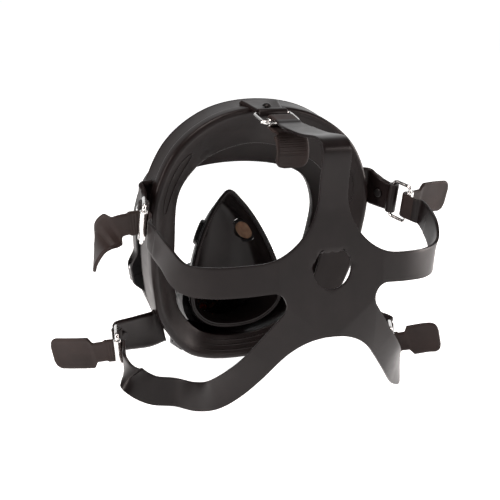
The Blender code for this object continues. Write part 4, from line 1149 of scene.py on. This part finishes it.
def arm_map(name, angle, route, turns):
    site = site_named(name)
    direction = np.array((math.cos(angle), 0.0, math.sin(angle)))
    across = np.array((-math.sin(angle), 0.0, math.cos(angle)))
    shift = np.array((0.0, SHIFT, 0.0))
    hub = np.array(HUB)
    side = -site.side * WRAP
    reach = BUCKLE_REACH + ARM_END
    ends = [site.world((0, reach + 7.0, side)), site.world((0, reach, side))]
    start = [hub + direction * 30.0, hub + direction * PLANAR]
    points = start + [np.array(p, float) + shift for p in route] + ends
    bar = np.array(site.bar)
    wide = [across, across] + [np.array(t, float) for t in turns] + [bar, bar]
    for k in range(2, len(wide)):
        if wide[k].dot(wide[k - 1]) < 0:
            wide[k] = -wide[k]
    line = np.array(open_curve(points, ARM_STEPS)[ARM_STEPS:])
    width = np.array(open_curve(wide, ARM_STEPS)[ARM_STEPS:])
    travelled = PLANAR + np.concatenate(([0.0], np.cumsum(np.linalg.norm(np.diff(line, axis=0), axis=1))))

    def at(table, s):
        return np.array([np.interp(s, travelled, table[:, i]) for i in range(3)])

    def place(s, t):
        if s <= PLANAR:
            return hub + direction * s + across * t
        tangent = at(line, s + 1.5) - at(line, s - 1.5)
        vector = at(width, s)
        vector = vector - tangent * vector.dot(tangent) / tangent.dot(tangent)
        return at(line, s) + vector / np.linalg.norm(vector) * t
    return place, travelled[-1]


def head_harness():
    verts = []
    faces = []
    count = len(ARMS)
    for k, (name, degrees, route, turns) in enumerate(ARMS):
        before = ARMS[k - 1]
        after = ARMS[(k + 1) % count]
        right_half = math.radians(((degrees - before[1]) % 360) / 2)
        left_half = math.radians(((after[1] - degrees) % 360) / 2)
        left = web_edge(left_half, WEB_REACH[(name, after[0])], 1)
        right = web_edge(right_half, WEB_REACH[(before[0], name)], -1)
        place, length = arm_map(name, math.radians(degrees), route, turns)
        stop = length - BRIDGE
        straight = max(left[-1][0], right[-1][0]) + 2.0
        run = max(3, round((stop - straight) / 1.6))
        for j in range(run + 1):
            s = straight + (stop - straight) * j / run
            left.append((s, STRAP / 2))
            right.append((s, -STRAP / 2))
        first = len(verts)
        for j in range(len(left)):
            for c in range(COLUMNS + 1):
                share = c / COLUMNS
                if j == 0:
                    angle = between(-right_half, left_half, share)
                    s, t = HUB_HOLE * math.cos(angle), HUB_HOLE * math.sin(angle)
                else:
                    s = between(right[j][0], left[j][0], share)
                    t = between(right[j][1], left[j][1], share)
                verts.append(tuple(place(s, t)))
        wide = COLUMNS + 1
        for j in range(len(left) - 1):
            for c in range(COLUMNS):
                a = first + j * wide + c
                faces.append((a, a + 1, a + wide + 1, a + wide))
        bridge(name, place, stop, length)
    obj = mesh_object("head_harness_skin", verts, faces)
    solidify(obj, STRAP_THICKNESS, offset=0.0, even=False)
    bevel(obj, 0.7, 3, 50.0)
    skin(obj, "harness_rubber", ("head_harness",))


def bridge(name, place, start, end):
    """Last stretch of an arm up to its strap tail, between the mask and the buckle."""
    site = site_named(name)
    count = 16
    rows = []
    lines = []
    for k in range(count + 1):
        s = start + (end - start) * k / count
        rows.append(place(s, 0.0))
        lines.append(place(s, 1.0) - place(s, 0.0))
    rows.append(np.array(site.world((0, BUCKLE_REACH + ARM_END - JOIN_GAP - 0.2, -site.side * WRAP))))
    lines.append(lines[-1])
    shares = [max(0.0, (k - count * 0.4) / (count * 0.6)) for k in range(count + 1)] + [1.0]
    halves = [between(STRAP / 2, TAIL_HALF, share) for share in shares]
    obj = swept_strap(f"arm_end_{name}", rows, lines, halves, STRAP_THICKNESS)
    obj.data.materials.append(MATS["harness_rubber"])
    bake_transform(obj)


# ---------------------------------------------------------------- assembly, floor, light and camera

def build():
    face_blank()
    visor()
    visor_frames()
    frame_screws()
    nose_cup()
    check_valves()
    housing()
    connector_pieces()
    exhalation_valve()
    for site in SITES:
        stud_at = lug(site)
        buckle(site)
        lug_stud(site, stud_at)
    head_harness()


FLOOR_HALF = 6
FLOOR_GLOW = 0.9               # keeps the far floor as white as the near floor
AZIMUTH = math.radians(155.0)
ELEVATION = math.radians(11.0)
LENS = 89.0
LOOK_AT = Vector((0.0, -0.0115, 0.105))


def floor():
    mesh = bpy.data.meshes.new("floor")
    half = FLOOR_HALF
    verts = [(-half, -half, 0), (half, -half, 0), (half, half, 0), (-half, half, 0)]
    mesh.from_pydata(verts, [], [(0, 1, 2, 3)])
    obj = bpy.data.objects.new("floor", mesh)
    bpy.context.collection.objects.link(obj)
    obj.location.z = -0.0004
    mat = bpy.data.materials.new("floor_paper")
    mat.use_nodes = True
    shader = mat.node_tree.nodes["Principled BSDF"]
    shader.inputs["Base Color"].default_value = (0.93, 0.93, 0.93, 1)
    shader.inputs["Roughness"].default_value = 0.9
    shader.inputs["Specular IOR Level"].default_value = 0.1
    shader.inputs["Emission Color"].default_value = (1, 1, 1, 1)
    shader.inputs["Emission Strength"].default_value = FLOOR_GLOW
    mesh.materials.append(mat)


def area_light(name, place, target, size, power, colour=(1, 1, 1)):
    data = bpy.data.lights.new(name, "AREA")
    data.shape = "RECTANGLE"
    data.size = size[0]
    data.size_y = size[1]
    data.energy = power
    data.color = colour
    obj = bpy.data.objects.new(name, data)
    bpy.context.collection.objects.link(obj)
    obj.location = place
    obj.rotation_mode = "QUATERNION"
    obj.rotation_quaternion = (Vector(target) - Vector(place)).to_track_quat("-Z", "Y")


def studio_world():
    """Surround that is white behind the object and dark behind the camera, so the rubber stays dark."""
    world = bpy.data.worlds.new("studio")
    world.use_nodes = True
    tree = world.node_tree
    back = tree.nodes["Background"]
    coords = tree.nodes.new("ShaderNodeTexCoord")
    turn = tree.nodes.new("ShaderNodeVectorMath")
    turn.operation = "DOT_PRODUCT"
    turn.inputs[1].default_value = (-0.42, -0.90, 0.1)
    tree.links.new(coords.outputs["Generated"], turn.inputs[0])
    level = tree.nodes.new("ShaderNodeMapRange")
    level.interpolation_type = "SMOOTHSTEP"
    level.inputs["From Min"].default_value = 0.25
    level.inputs["From Max"].default_value = 0.9
    level.inputs["To Min"].default_value = 0.05
    level.inputs["To Max"].default_value = 1.02
    tree.links.new(turn.outputs["Value"], level.inputs["Value"])
    back.inputs["Color"].default_value = (1, 1, 1, 1)
    tree.links.new(level.outputs["Result"], back.inputs["Strength"])
    bpy.context.scene.world = world


def lights():
    studio_world()
    centre = (0.0, 0.0, 0.11)
    warm = (1.0, 0.89, 0.85)
    area_light("key_top", (0.15, 0.45, 1.5), centre, (0.8, 0.4), 13.0, warm)
    area_light("left_strip", (1.3, 0.15, 0.45), centre, (0.25, 1.4), 16.0, warm)
    area_light("right_strip", (-0.85, 1.2, 0.65), centre, (0.15, 0.4), 4.0, warm)
    area_light("right_side", (-1.35, 0.15, 0.3), centre, (0.3, 1.0), 14.0, warm)


def camera():
    data = bpy.data.cameras.new("camera")
    data.lens = LENS
    data.sensor_width = 36.0
    data.clip_start = 0.01
    obj = bpy.data.objects.new("camera", data)
    bpy.context.collection.objects.link(obj)
    level = math.cos(ELEVATION)
    back = Vector((math.sin(AZIMUTH) * level, -math.cos(AZIMUTH) * level, math.sin(ELEVATION)))
    obj.location = LOOK_AT + back
    obj.rotation_mode = "QUATERNION"
    obj.rotation_quaternion = (-back).to_track_quat("-Z", "Y")
    bpy.context.scene.camera = obj


build()
floor()
lights()
camera()
bpy.context.scene.view_settings.view_transform = "Standard"
bpy.context.scene.view_settings.look = "None"
bpy.context.view_layer.update()
